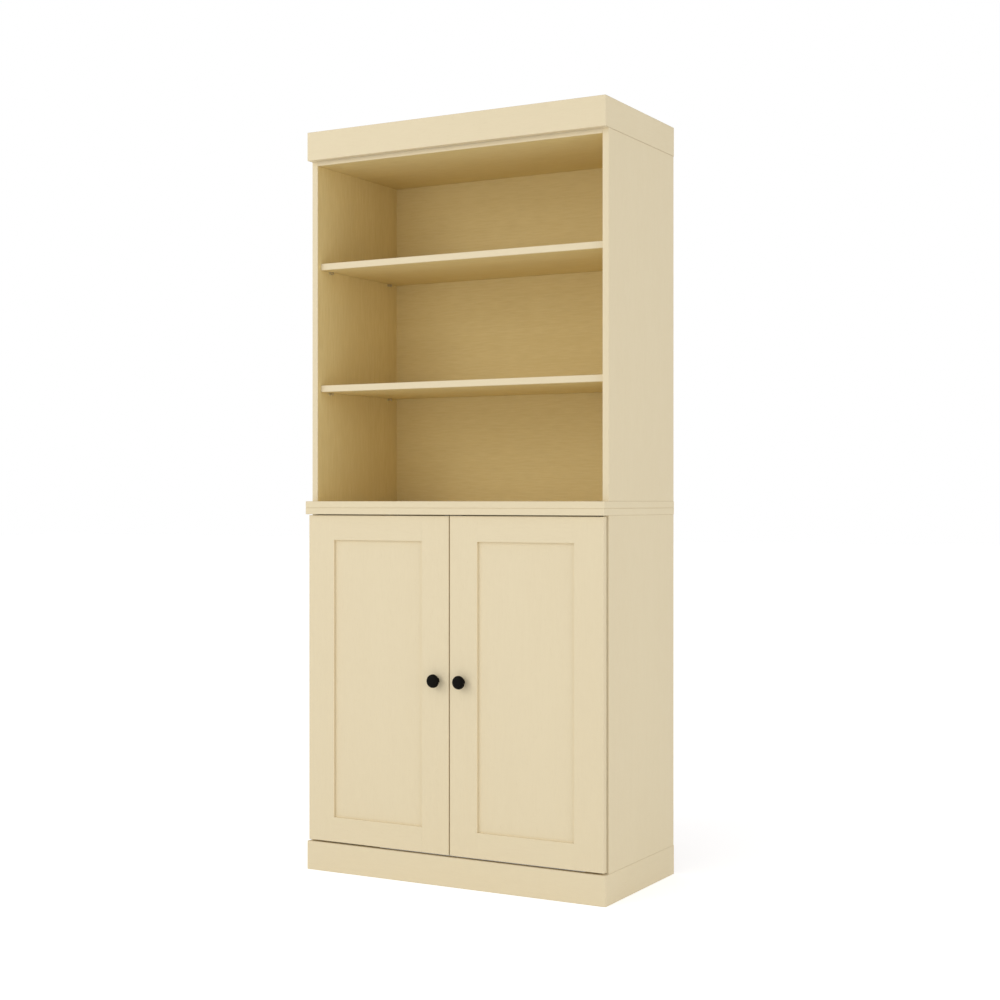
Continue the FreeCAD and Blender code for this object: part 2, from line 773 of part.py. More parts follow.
for piece, pattern in (("cups", cup), ("pins", pin), ("arms", arm), ("plates", plate)):
    pair = copies("right_hinge_" + piece, pattern, [("hinge_x", "hinge_y", z) for z in HINGE_ZS])
    mirrored(pair, "left_hinge_" + piece)

# --------------------------------------------------------------------------
# Magnetic catch under the counter and a strike plate on each door
# --------------------------------------------------------------------------
block("magnetic_catch", "-catch_width / 2", "catch_width / 2", "catch_y",
      "catch_y + catch_depth", "catch_z", "catch_height - seat_gap")
strike = block("right_strike_plate", "strike_x", "strike_x + strike_width", "fascia_back_y",
               "fascia_back_y + strike_thick", "strike_z", "strike_height")

for piece, name in (
    (hinge_stile, "left_hinge_stile"),
    (meeting_stile, "left_meeting_stile"),
    (top_rail, "left_top_rail"),
    (bottom_rail, "left_bottom_rail"),
    (door_panel, "left_door_panel"),
    (knob, "left_knob"),
    (strike, "left_strike_plate"),
):
    mirrored(piece, name)

# --------------------------------------------------------------------------
# Check everything, then write one file for each sub-part
# --------------------------------------------------------------------------
doc.recompute()
for thing in doc.Objects:
    if "Invalid" in thing.State or "Error" in thing.State:
        raise RuntimeError("%s failed: %s" % (thing.Name, thing.State))
for node in NODES:
    if node.Shape.isNull() or not node.Shape.isValid() or not node.Shape.Solids:
        raise RuntimeError("%s has no valid solid" % node.Label)

os.makedirs("parts", exist_ok=True)
for node in NODES:
    node.Shape.exportStep("parts/%s.step" % node.Label)
print("%d sub-parts, %d solids" % (len(NODES), sum(len(node.Shape.Solids) for node in NODES)))
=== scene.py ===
"""Looks of a two-piece bookcase: an open hutch over a cabinet with two framed doors.

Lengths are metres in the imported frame: origin on the floor, +X to the right,
-Y to the front, +Z up.  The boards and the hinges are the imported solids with
new finishes.  Knobs, catch, strikes, screw heads and nails are modelled here.
"""
import logging
import math
from dataclasses import dataclass, field
from enum import Enum
from typing import ClassVar

import bmesh
import bpy
import numpy as np
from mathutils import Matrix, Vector


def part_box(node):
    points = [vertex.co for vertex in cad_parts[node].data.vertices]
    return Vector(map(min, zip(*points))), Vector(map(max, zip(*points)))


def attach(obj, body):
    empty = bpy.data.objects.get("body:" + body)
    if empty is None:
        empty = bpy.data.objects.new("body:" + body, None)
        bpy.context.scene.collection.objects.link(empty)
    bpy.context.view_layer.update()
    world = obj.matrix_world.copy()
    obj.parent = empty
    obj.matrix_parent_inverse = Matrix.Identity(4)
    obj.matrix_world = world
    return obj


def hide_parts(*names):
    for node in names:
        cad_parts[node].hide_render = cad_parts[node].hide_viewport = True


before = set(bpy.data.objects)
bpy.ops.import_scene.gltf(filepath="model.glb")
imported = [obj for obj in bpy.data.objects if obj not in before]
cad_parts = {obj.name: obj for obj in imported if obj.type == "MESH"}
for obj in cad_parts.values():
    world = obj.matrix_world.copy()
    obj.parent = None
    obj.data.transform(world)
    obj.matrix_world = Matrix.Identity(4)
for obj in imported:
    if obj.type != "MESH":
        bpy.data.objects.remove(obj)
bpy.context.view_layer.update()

LOG = logging.getLogger("bookcase")
MM = 0.001
WELD = 1e-7                     # points nearer than this are one point
SHARP = math.radians(40.0)      # edges that bend more than this stay sharp

Array = np.ndarray
Triple = tuple[float, float, float]
Span = tuple[float, float]
Socket = bpy.types.NodeSocket
Feed = float | Triple | tuple[float, float, float, float] | Socket

FORWARD: Triple = (0.0, -1.0, 0.0)              # ways that a face can look
REARWARD: Triple = (0.0, 1.0, 0.0)
DOWNWARD: Triple = (0.0, 0.0, -1.0)


class Body(Enum):
    """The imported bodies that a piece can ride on."""

    ROOT = "root"
    LEFT_DOOR = "left_door"
    RIGHT_DOOR = "right_door"


class Side(Enum):
    """The two halves of the piece: name of the half and sign of its x."""

    LEFT = -1
    RIGHT = 1

    @property
    def word(self) -> str:
        """The half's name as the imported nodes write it."""
        return self.name.lower()

    @property
    def sign(self) -> float:
        """The sign of this half's x."""
        return float(self.value)

    @property
    def door(self) -> Body:
        """The body of this half's door."""
        return Body[self.name + "_DOOR"]


class Grain(Enum):
    """The axis that a board's grain runs along, as the turn that brings it upright."""

    ACROSS = (0.0, -math.pi / 2.0, 0.0)
    DEEP = (math.pi / 2.0, 0.0, 0.0)
    UPRIGHT = (0.0, 0.0, 0.0)


# ---------------------------------------------------------------------------
# Surfaces
# ---------------------------------------------------------------------------
@dataclass(frozen=True)
class Seat:
    """A point on a squared face, and the axis direction in which that face looks."""

    point: Triple
    outward: Triple

    def place(self, local: Array) -> Array:
        """Carry local points to the seat.

        Args:
            local: Points whose z is the height off the face and whose y is up on it.

        Returns:
            point + x * across + y * upward + z * outward.
        """
        outward = np.array(self.outward)
        level = abs(self.outward[2]) == 1.0
        upward = np.array((0.0, 1.0, 0.0) if level else (0.0, 0.0, 1.0))
        across = np.cross(upward, outward)
        return np.array(self.point) + local @ np.stack((across, upward, outward))


def turned(radius: Array, height: Array, columns: int) -> Array:
    """Turn a profile about the z axis.

    Each profile point (radius, height) becomes a circle:
    x = radius * cos(angle), y = radius * sin(angle), z = height.

    Args:
        radius: Radius at each profile point.
        height: Height at each profile point.
        columns: Points round the circle.

    Returns:
        A grid of points, one row for each profile point.
    """
    angle = np.linspace(0.0, 2.0 * math.pi, columns, endpoint=False)
    return np.stack((
        radius[:, None] * np.cos(angle),
        radius[:, None] * np.sin(angle),
        np.broadcast_to(height[:, None], (len(height), columns)),
    ), axis=-1)


def footed(dome: Array) -> Array:
    """A dome's grid, closed by one more row at the middle of its foot."""
    return np.concatenate((dome, np.zeros((1, *dome.shape[1:]))))


def rounded_slab(half: Triple, corner: float, edge: float, steps: int = 6) -> Array:
    """A closed slab centred on the origin with rounded corners and edges.

    For a direction round the plan (angle) and a direction up and down (rise):
    x, y = sign * (half - corner) + (corner - edge + edge * cos(rise)) * (cos, sin)(angle)
    z = sign * (half - edge) + edge * sin(rise)
    The directions at each quarter turn come twice, once for either side, so
    that the flat stretches span between them.

    Args:
        half: Half the slab's length, width and height.
        corner: Radius of its upright corners in plan.
        edge: Radius of the edges round its top and bottom.
        steps: Points along each quarter turn.

    Returns:
        A grid of points from the middle of the bottom to the middle of the top.
    """
    quarter = np.linspace(0.0, math.pi / 2.0, steps)
    angle = np.concatenate([quarter + turn * math.pi / 2.0 for turn in range(4)])
    sign_x = np.repeat((1.0, -1.0, -1.0, 1.0), steps)
    sign_y = np.repeat((1.0, 1.0, -1.0, -1.0), steps)
    rise = np.concatenate((-quarter[::-1], quarter))[:, None]
    sign_z = np.repeat((-1.0, 1.0), steps)[:, None]
    reach = corner - edge + edge * np.cos(rise)
    wall = np.stack((
        sign_x * (half[0] - corner) + reach * np.cos(angle),
        sign_y * (half[1] - corner) + reach * np.sin(angle),
        np.broadcast_to(sign_z * (half[2] - edge) + edge * np.sin(rise), (2 * steps, 4 * steps)),
    ), axis=-1)
    bottom = np.broadcast_to((0.0, 0.0, -half[2]), (1, 4 * steps, 3))
    top = np.broadcast_to((0.0, 0.0, half[2]), (1, 4 * steps, 3))
    return np.concatenate((bottom, wall, top))


def linked(name: str, data: bpy.types.ID) -> bpy.types.Object:
    """Put a mesh, a light or a camera into the scene as an object.

    Args:
        name: The object's name.
        data: What it shows.

    Returns:
        The object.
    """
    thing = bpy.data.objects.new(name, data)
    bpy.context.scene.collection.objects.link(thing)
    return thing


class Skin:
    """Closed surfaces, given as grids of points, gathered into one mesh piece."""

    def __init__(self, name: str) -> None:
        """Start an empty piece.

        Args:
            name: The piece's name.
        """
        self.name = name
        self.points: list[Array] = []
        self.faces: list[Array] = []
        self.count = 0

    def add(self, grid: Array) -> None:
        """Add one surface whose columns close in a ring.

        Each cell of the grid is a face: its four corners are the points at
        (row, column), (row, next), (row + 1, next) and (row + 1, column).

        Args:
            grid: Points as rows by columns by three.
        """
        rows, columns = grid.shape[:2]
        row, column = np.meshgrid(np.arange(rows - 1), np.arange(columns), indexing="ij")
        beside = (column + 1) % columns
        corners = (
            row * columns + column,
            row * columns + beside,
            (row + 1) * columns + beside,
            (row + 1) * columns + column,
        )
        self.faces.append(np.stack(corners, axis=-1).reshape(-1, 4) + self.count)
        self.points.append(grid.reshape(-1, 3))
        self.count += rows * columns

    def finish(self, body: Body, material: bpy.types.Material,
               replaced: tuple[str, ...] = ()) -> None:
        """Make the mesh, dress it and let it ride.  The piece stays at the origin.

        Args:
            body: Body that the piece moves with.
            material: Its finish.
            replaced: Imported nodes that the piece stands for.
        """
        mesh = bpy.data.meshes.new(self.name)
        mesh.from_pydata(np.concatenate(self.points).tolist(), [], np.concatenate(self.faces).tolist())
        work = bmesh.new()
        work.from_mesh(mesh)
        bmesh.ops.remove_doubles(work, verts=work.verts, dist=WELD)
        bmesh.ops.recalc_face_normals(work, faces=work.faces)
        work.to_mesh(mesh)
        work.free()
        mesh.shade_smooth()
        mesh.set_sharp_from_angle(angle=SHARP)
        mesh.materials.append(material)
        piece = linked(self.name, mesh)
        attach(piece, body.value)
        if replaced:
            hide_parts(*replaced)
        LOG.info("%s: %d faces, rides on %s", self.name, len(mesh.polygons), body.value)


# ---------------------------------------------------------------------------
# Wiring of node trees
# ---------------------------------------------------------------------------
MIX_SHARE, MIX_FIRST, MIX_SECOND, MIX_RESULT = 0, 6, 7, 2     # a Mix node's sockets for colours
SHIFT_STEP: Triple = (0.137, 0.291, 0.419)      # metres that a pattern moves for each unit of a name's sum
SHIFT_TURN: Triple = (7.0, 5.0, 3.0)            # metres after which that shift starts again


@dataclass(frozen=True)
class Ripple:
    """A noise: its waves a metre along x, y and z, and how many finer layers ride on them."""

    waves: Triple
    detail: float


class Wiring:
    """Adds nodes to one tree and feeds their sockets with values or other sockets."""

    def __init__(self, tree: bpy.types.NodeTree) -> None:
        """Work on the given tree."""
        self.tree = tree

    def add(self, kind: str, feeds: dict[str | int, Feed] | None = None,
            **settings: object) -> bpy.types.Node:
        """Add a node.

        Args:
            kind: Its type, without the leading ShaderNode.
            feeds: What each input gets, by name or by number.
            settings: Values of the node's own properties.

        Returns:
            The node.
        """
        node = self.tree.nodes.new("ShaderNode" + kind)
        for name, value in settings.items():
            setattr(node, name, value)
        for name, feed in (feeds or {}).items():
            self.feed(node.inputs[name], feed)
        return node

    def feed(self, socket: Socket, feed: Feed) -> None:
        """Give an input a value, or link another socket to it.

        Args:
            socket: The input.
            feed: The value or the socket.
        """
        if isinstance(feed, Socket):
            self.tree.links.new(feed, socket)
        else:
            socket.default_value = feed

    def math(self, operation: str, first: Feed, second: Feed = 0.0) -> Socket:
        """The result of one sum on two numbers."""
        return self.add("Math", {0: first, 1: second}, operation=operation).outputs[0]

    def vector(self, operation: str, first: Feed, second: Feed) -> Socket:
        """The result of one sum on two vectors."""
        return self.add("VectorMath", {0: first, 1: second}, operation=operation).outputs[0]

    def parts(self, vector: Feed) -> list[Socket]:
        """The x, y and z of a vector."""
        return list(self.add("SeparateXYZ", {0: vector}).outputs)

    def total(self, start: float, *shares: tuple[Feed, float]) -> Feed:
        """A number plus several values, each times its own weight.

        Args:
            start: The number that the sum starts from.
            shares: Pairs of a value and its weight.

        Returns:
            start + value * weight + value * weight and so on.
        """
        result: Feed = start
        for value, weight in shares:
            feeds = {0: value, 1: weight, 2: result}
            result = self.add("Math", feeds, operation="MULTIPLY_ADD").outputs[0]
        return result

    def band(self, value: Feed, start: float, end: float, low: float = 0.0, high: float = 1.0) -> Socket:
        """A smooth step from low to high while the value goes from start to end."""
        feeds = {"Value": value, "From Min": start, "From Max": end, "To Min": low, "To Max": high}
        return self.add("MapRange", feeds, interpolation_type="SMOOTHSTEP").outputs["Result"]

    def blend(self, share: Feed, first: Feed, second: Feed) -> Socket:
        """A mix of two colours: none of the second at 0, all of it at 1."""
        feeds = {MIX_SHARE: share, MIX_FIRST: opaque(first), MIX_SECOND: opaque(second)}
        return self.add("Mix", feeds, data_type="RGBA").outputs[MIX_RESULT]

    def noise(self, place: Feed, ripple: Ripple) -> Socket:
        """Noise from 0 to 1."""
        scaled = self.vector("MULTIPLY", place, ripple.waves)
        return self.add("TexNoise", {"Vector": scaled, "Scale": 1.0, "Detail": ripple.detail}).outputs[0]

    def behind(self, place: Feed, limit: float) -> Socket:
        """1 where a point lies further back than the limit, else 0."""
        return self.math("GREATER_THAN", self.parts(place)[1], limit)

    def place(self, shift: Triple = (0.0, 0.0, 0.0), turn: Triple = (0.0, 0.0, 0.0)) -> Socket:
        """The piece's own coordinates, turned and shifted."""
        place = self.add("TexCoord").outputs["Object"]
        return self.add("Mapping", {"Vector": place, "Location": shift, "Rotation": turn}).outputs[0]


def even(waves: float) -> Triple:
    """The same number of waves along all three axes."""
    return (waves, waves, waves)


def opaque(colour: Feed) -> Feed:
    """A colour with full opacity; a socket goes through as it is."""
    return (*colour, 1.0) if isinstance(colour, tuple) else colour


def letter_shift(name: str) -> Triple:
    """A fixed offset for a board's pattern, worked out from the letters of its name.

    Each letter's code counts as often as its place in the name says.  The sum
    times SHIFT_STEP is the offset, and it starts again at every SHIFT_TURN.

    Args:
        name: The board's node.

    Returns:
        The offset along x, y and z.
    """
    total = sum(ord(letter) * place for place, letter in enumerate(name, start=1))
    x, y, z = (total * step % turn for step, turn in zip(SHIFT_STEP, SHIFT_TURN))
    return (x, y, z)


# ---------------------------------------------------------------------------
# Shader effects, each a node group that more than one finish uses
# ---------------------------------------------------------------------------
class Effect:
    """Base of the shared effects: builds its node group once and places it in materials."""

    name: ClassVar[str] = ""
    inputs: ClassVar[dict[str, str]] = {"Place": "Vector"}
    outputs: ClassVar[tuple[str, ...]] = ()

    def __init__(self) -> None:
        """Build the group with its named inputs and outputs."""
        self.group = bpy.data.node_groups.new(self.name, "ShaderNodeTree")
        for label, kind in self.inputs.items():
            self.group.interface.new_socket(label, in_out="INPUT", socket_type="NodeSocket" + kind)
        for label in self.outputs:
            self.group.interface.new_socket(label, in_out="OUTPUT", socket_type="NodeSocketFloat")
        wiring = Wiring(self.group)
        entry = self.group.nodes.new("NodeGroupInput")
        results = self.build(wiring, {label: entry.outputs[label] for label in self.inputs})
        leave = self.group.nodes.new("NodeGroupOutput")
        for label, socket in results.items():
            wiring.feed(leave.inputs[label], socket)

    def build(self, wiring: Wiring, given: dict[str, Socket]) -> dict[str, Socket]:
        """Wire the effect.

        Args:
            wiring: The group's tree.
            given: The group's inputs by name.

        Returns:
            What each of the group's outputs gets.
        """
        raise NotImplementedError

    def use(self, wiring: Wiring, **feeds: Feed) -> dict[str, Socket]:
        """Place the group in a material.

        Args:
            wiring: The material's tree.
            feeds: What each input gets, by name.

        Returns:
            The group's outputs by name.
        """
        node = wiring.add("Group", feeds, node_tree=self.group)
        return {label: node.outputs[label] for label in self.outputs}


class WoodPrint(Effect):
    """Printed and embossed grain along z: broad streaks, fine fibres, slow drift and pores."""

    name = "wood_print"
    outputs = ("Streak", "Fibre", "Drift", "Pore")
    streak: Ripple = Ripple((42.0, 42.0, 1.7), detail=4.0)
    fibre: Ripple = Ripple((240.0, 240.0, 24.0), detail=4.0)
    drift: Ripple = Ripple((3.1, 3.1, 1.3), detail=2.0)
    pore: Ripple = Ripple((1100.0, 1100.0, 60.0), detail=1.0)
    pore_peaks: Span = (0.64, 0.76)

    def build(self, wiring: Wiring, given: dict[str, Socket]) -> dict[str, Socket]:
        """Wire four noises, each stretched along z; the pores are the finest one's peaks.

        Args:
            wiring: The group's tree.
            given: Place.

        Returns:
            Streak, Fibre, Drift and Pore, each from 0 to 1.
        """
        place = given["Place"]
        return {
            "Streak": wiring.noise(place, self.streak),
            "Fibre": wiring.noise(place, self.fibre),
            "Drift": wiring.noise(place, self.drift),
            "Pore": wiring.band(wiring.noise(place, self.pore), *self.pore_peaks),
        }


class Arris(Effect):
    """How near a point of a squared board lies to one of its edges.

    Along the upright edges the first output is 1, broken up in patches: a painted highlight.  Seam is 1
    along the level edges, where one board stands on the next: painted shade and settled dirt in the joint.
    """

    name = "arris"
    inputs = {"Place": "Vector", "Low": "Vector", "High": "Vector", "Reach": "Float"}
    outputs = ("Rubbed", "Seam")
    patch: Ripple = Ripple(even(55.0), detail=3.0)
    patch_range: Span = (0.3, 0.7)
    seam_core: float = 0.5          # share of the reach over which a seam's painted shade and dirt are at their darkest

    def build(self, wiring: Wiring, given: dict[str, Socket]) -> dict[str, Socket]:
        """Find the edges: a point is near one when it is near both of the faces that meet there.

        Args:
            wiring: The group's tree.
            given: Place, the board's Low and High corners, and Reach.

        Returns:
            The painted edge highlight and the seam mask, each from 0 to 1.
        """
        place, reach = given["Place"], given["Reach"]
        below = wiring.vector("SUBTRACT", place, given["Low"])
        above = wiring.vector("SUBTRACT", given["High"], place)
        x, y, z = wiring.parts(wiring.vector("MINIMUM", below, above))
        upright = wiring.math("DIVIDE", wiring.math("MAXIMUM", x, y), reach)
        nearest = wiring.math("MINIMUM", x, y)
        level = wiring.math("DIVIDE", wiring.math("MAXIMUM", z, nearest), reach)
        patches = wiring.band(wiring.noise(place, self.patch), *self.patch_range)
        return {
            # painted highlight along the upright edges, in patches
            "Rubbed": wiring.math("MULTIPLY", wiring.band(upright, 1.0, 0.0), patches),
            # painted shade and settled dirt along the level edges
            "Seam": wiring.band(level, 1.0, self.seam_core),
        }


class Handling(Effect):
    """Soft patches where hands and cloths have been, and a light scatter of dust."""

    name = "handling"
    outputs = ("Smudge", "Dust")
    smudge: Ripple = Ripple(even(17.0), detail=3.0)
    smudge_range: Span = (0.3, 0.7)
    dust: Ripple = Ripple(even(1500.0), detail=0.0)
    dust_peaks: Span = (0.7, 0.8)

    def build(self, wiring: Wiring, given: dict[str, Socket]) -> dict[str, Socket]:
        """Wire the smudges, a middling noise, and the dust, the peaks of a very fine one.

        Args:
            wiring: The group's tree.
            given: Place.

        Returns:
            Smudge and Dust, each from 0 to 1.
        """
        place = given["Place"]
        return {
            "Smudge": wiring.band(wiring.noise(place, self.smudge), *self.smudge_range),
            "Dust": wiring.band(wiring.noise(place, self.dust), *self.dust_peaks),
        }


class InsideBay(Effect):
    """Where the painted bay shade goes: between the side boards and behind their front edges."""

    name = "inside_bay"
    inputs = {"Place": "Vector", "Half": "Float", "Front": "Float"}
    outputs = ("Inside",)

    def build(self, wiring: Wiring, given: dict[str, Socket]) -> dict[str, Socket]:
        """Let the nearer of the two limits decide: |x| below Half, and y above Front.

        Args:
            wiring: The group's tree.
            given: Place, and the limits Half and Front.

        Returns:
            The mask of the painted bay shade: 1 within both limits and 0 elsewhere.
        """
        x, y, _ = wiring.parts(given["Place"])
        between = wiring.math("SUBTRACT", given["Half"], wiring.math("ABSOLUTE", x))
        behind = wiring.math("SUBTRACT", y, given["Front"])
        return {"Inside": wiring.math("GREATER_THAN", wiring.math("MINIMUM", between, behind), 0.0)}


class PressedChips(Effect):
    """The flakes of a pressed wood core or of a hardboard."""

    name = "pressed_chips"
    inputs = {"Place": "Vector", "Size": "Float"}
    outputs = ("Flake", "Seam")
    seam_range: Span = (0.35, 0.75)

    def build(self, wiring: Wiring, given: dict[str, Socket]) -> dict[str, Socket]:
        """Wire the flakes, cells that each have a tone, and the seams where two cells meet.

        Args:
            wiring: The group's tree.
            given: Place, and Size in flakes a metre.

        Returns:
            Flake and Seam, each from 0 to 1.
        """
        scaled = wiring.add("VectorMath", {0: given["Place"], "Scale": given["Size"]}, operation="SCALE")
        cells = wiring.add("TexVoronoi", {"Vector": scaled.outputs[0], "Scale": 1.0}).outputs
        return {
            "Flake": wiring.add("SeparateColor", {0: cells["Color"]}).outputs[0],
            "Seam": wiring.band(cells["Distance"], *self.seam_range),
        }


class Brushing(Effect):
    """Fine parallel lines left on plated metal, with a few deeper scratches."""

    name = "brushing"
    outputs = ("Line", "Scratch")
    line: Ripple = Ripple((2600.0, 2600.0, 70.0), detail=2.0)
    scratch: Ripple = Ripple((700.0, 700.0, 60.0), detail=1.0)
    scratch_peaks: Span = (0.68, 0.74)

    def build(self, wiring: Wiring, given: dict[str, Socket]) -> dict[str, Socket]:
        """Wire two noises drawn out along z; the scratches are the peaks of the coarser one.

        Args:
            wiring: The group's tree.
            given: Place.

        Returns:
            Line and Scratch, each from 0 to 1.
        """
        place = given["Place"]
        return {
            "Line": wiring.noise(place, self.line),
            "Scratch": wiring.band(wiring.noise(place, self.scratch), *self.scratch_peaks),
        }


@dataclass(frozen=True)
class Effects:
    """The shared effects, each built once."""

    wood: WoodPrint = field(default_factory=WoodPrint)
    arris: Arris = field(default_factory=Arris)
    # where the painted bay shade goes
    bay: InsideBay = field(default_factory=InsideBay)
    handling: Handling = field(default_factory=Handling)
    chips: PressedChips = field(default_factory=PressedChips)
    brushing: Brushing = field(default_factory=Brushing)


# ---------------------------------------------------------------------------
# Finishes
# ---------------------------------------------------------------------------
@dataclass(frozen=True)
class Relief:
    """How strongly a finish's height pattern shows, and how deep it is."""

    strength: float
    depth: float


class Shading:
    """A material with a bare Principled shader, and the wiring that feeds it."""

    def __init__(self, name: str) -> None:
        """Start the material.

        Args:
            name: The material's name.
        """
        self.material = bpy.data.materials.new(name)
        self.material.use_nodes = True
        self.wiring = Wiring(self.material.node_tree)
        self.shader = next(node for node in self.wiring.tree.nodes if node.type == "BSDF_PRINCIPLED")

    def hold(self, socket: str, value: Feed) -> None:
        """Set one of the shader's sockets to a value that is the same all over."""
        self.shader.inputs[socket].default_value = value

    def vary(self, colour: Socket, rough: Socket, height: Socket, relief: Relief) -> None:
        """Feed the shader what changes over the surface.

        Args:
            colour: The colour.
            rough: The roughness.
            height: The height pattern, from 0 to 1.
            relief: Its strength and depth.
        """
        feeds = {"Strength": relief.strength, "Distance": relief.depth, "Height": height}
        bump = self.wiring.add("Bump", feeds)
        self.wiring.feed(self.shader.inputs["Base Color"], colour)
        self.wiring.feed(self.shader.inputs["Roughness"], rough)
        self.wiring.feed(self.shader.inputs["Normal"], bump.outputs[0])


@dataclass(frozen=True)
class Bay:
    """The room between the side boards, where the foil gets a painted shade, deeper and warmer than its own
    colour.
    """

    half: float                     # half its width
    front: float                    # the side boards' front edges
    rear: float                     # boards that reach this far back show their core there
    lip: float = 1.0 * MM           # front edge that keeps the foil's own colour, free of the painted shade
    slack: float = 0.3 * MM         # keeps the limits off the faces that they pass

    @classmethod
    def measured(cls) -> "Bay":
        """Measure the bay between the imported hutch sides.

        Returns:
            The bay.
        """
        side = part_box("hutch_right_side")[0]
        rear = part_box("hutch_back_panel")[0].y
        return cls(side.x + cls.slack, side.y + cls.lip, rear - cls.slack)


@dataclass(frozen=True)
class Board:
    """A foiled board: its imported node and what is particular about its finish."""

    node: str
    grain: Grain
    in_bay: bool = False            # whether it bounds a bay, where its foil gets the painted shade
    seam: float = 0.0               # how dark the painted shade and dirt on its level edges are, where boards meet, from 0 to 1


@dataclass(frozen=True)
class Core:
    """Pressed wood chips, bare on the boards' rear edges."""

    light: Triple = (0.52, 0.37, 0.21)
    dark: Triple = (0.30, 0.19, 0.095)
    flakes: float = 420.0           # flakes a metre
    roughness: float = 0.85
    skin: float = 0.1 * MM          # depth of the rear edge that is bare


@dataclass(frozen=True)
class Laminate:
    """Satin wood-print foil over a pressed core, as bought on every cream board."""

    light: Triple = (0.795, 0.686, 0.472)
    dark: Triple = (0.781, 0.670, 0.458)
    # the print's tones in a painted shade, deeper and warmer, for the faces inside the bays
    inner_light: Triple = (0.806, 0.653, 0.326)
    inner_dark: Triple = (0.743, 0.588, 0.275)
    pore: Triple = (0.640, 0.520, 0.320)
    # painted highlight along the upright edges, lighter than the foil
    edge: Triple = (0.820, 0.715, 0.515)
    # painted shade and settled dirt along the level joints
    seam: Triple = (0.360, 0.280, 0.160)
    core: Core = Core()
    streak_share: float = 0.18      # the print's tone is made up of these three
    drift_share: float = 0.42
    fibre_share: float = 0.40
    tones: Span = (0.36, 0.64)      # tones at which the print is at its lightest and darkest
    pore_share: float = 0.22
    rub_share: float = 0.5
    edge_reach: float = 1.3 * MM
    roughness: float = 0.46
    smudge_rough: float = 0.09
    pore_rough: float = 0.12
    specular: float = 0.09
    emboss: float = 0.5             # height of the fibres, and depth of the pores
    relief: Relief = Relief(strength=0.35, depth=0.12 * MM)

    def foil(self, wiring: Wiring, wood: dict[str, Socket], bay_shade: Feed) -> Socket:
        """The foil's colour: its print in its own colours, or in the painted shade inside the bays.

        Args:
            wiring: The material's tree.
            wood: The print.
            bay_shade: 1 where the foil lies inside a bay and gets the painted shade.

        Returns:
            The colour.
        """
        tone = wiring.total(0.0, (wood["Streak"], self.streak_share), (wood["Drift"], self.drift_share),
                            (wood["Fibre"], self.fibre_share))
        share = wiring.band(tone, *self.tones)
        outer = wiring.blend(share, self.light, self.dark)
        # the same print in the painted shade, for the faces inside a bay
        shaded = wiring.blend(share, self.inner_light, self.inner_dark)
        colour = wiring.blend(bay_shade, outer, shaded)
        pores = wiring.math("MULTIPLY", wood["Pore"], self.pore_share)
        return wiring.blend(pores, colour, self.pore)

    def material(self, board: Board, effects: Effects, bay: Bay) -> bpy.types.Material:
        """The finish of one board.

        Args:
            board: The board and what is particular about it.
            effects: The shared effects.
            bay: The room between the side boards.

        Returns:
            The material.
        """
        shading = Shading("laminate_" + board.node)
        wiring = shading.wiring
        low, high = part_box(board.node)
        place = wiring.place()
        wood = effects.wood.use(wiring, Place=wiring.place(letter_shift(board.node), board.grain.value))
        used = effects.handling.use(wiring, Place=place)
        edges = effects.arris.use(wiring, Place=place, Low=tuple(low), High=tuple(high),
                                  Reach=self.edge_reach)
        # faces inside a bay get the painted shade of the bays' interiors
        bay_shade: Feed = 0.0
        if board.in_bay:
            front = max(bay.front, low.y + bay.lip)
            bay_shade = effects.bay.use(wiring, Place=place, Half=bay.half, Front=front)["Inside"]
        colour = self.foil(wiring, wood, bay_shade)
        # lighten the upright edges with a painted highlight
        edge_highlight = wiring.math("MULTIPLY", edges["Rubbed"], self.rub_share)
        colour = wiring.blend(edge_highlight, colour, self.edge)
        # darken the level joints with painted shade and settled dirt
        if board.seam > 0.0:
            seam = wiring.math("MULTIPLY", edges["Seam"], board.seam)
            colour = wiring.blend(seam, colour, self.seam)
        rough = wiring.total(self.roughness, (used["Smudge"], self.smudge_rough),
                             (wood["Pore"], self.pore_rough))
        if high.y > bay.rear:
            chips = effects.chips.use(wiring, Place=place, Size=self.core.flakes)
            core = wiring.blend(chips["Flake"], self.core.light, self.core.dark)
            bare = wiring.behind(place, high.y - self.core.skin)
            colour = wiring.blend(bare, colour, core)
            rough = wiring.math("MAXIMUM", rough, wiring.math("MULTIPLY", bare, self.core.roughness))
        height = wiring.total(0.0, (wood["Fibre"], self.emboss), (wood["Pore"], -self.emboss))
        shading.hold("Specular IOR Level", self.specular)
        shading.vary(colour, rough, height, self.relief)
        return shading.material


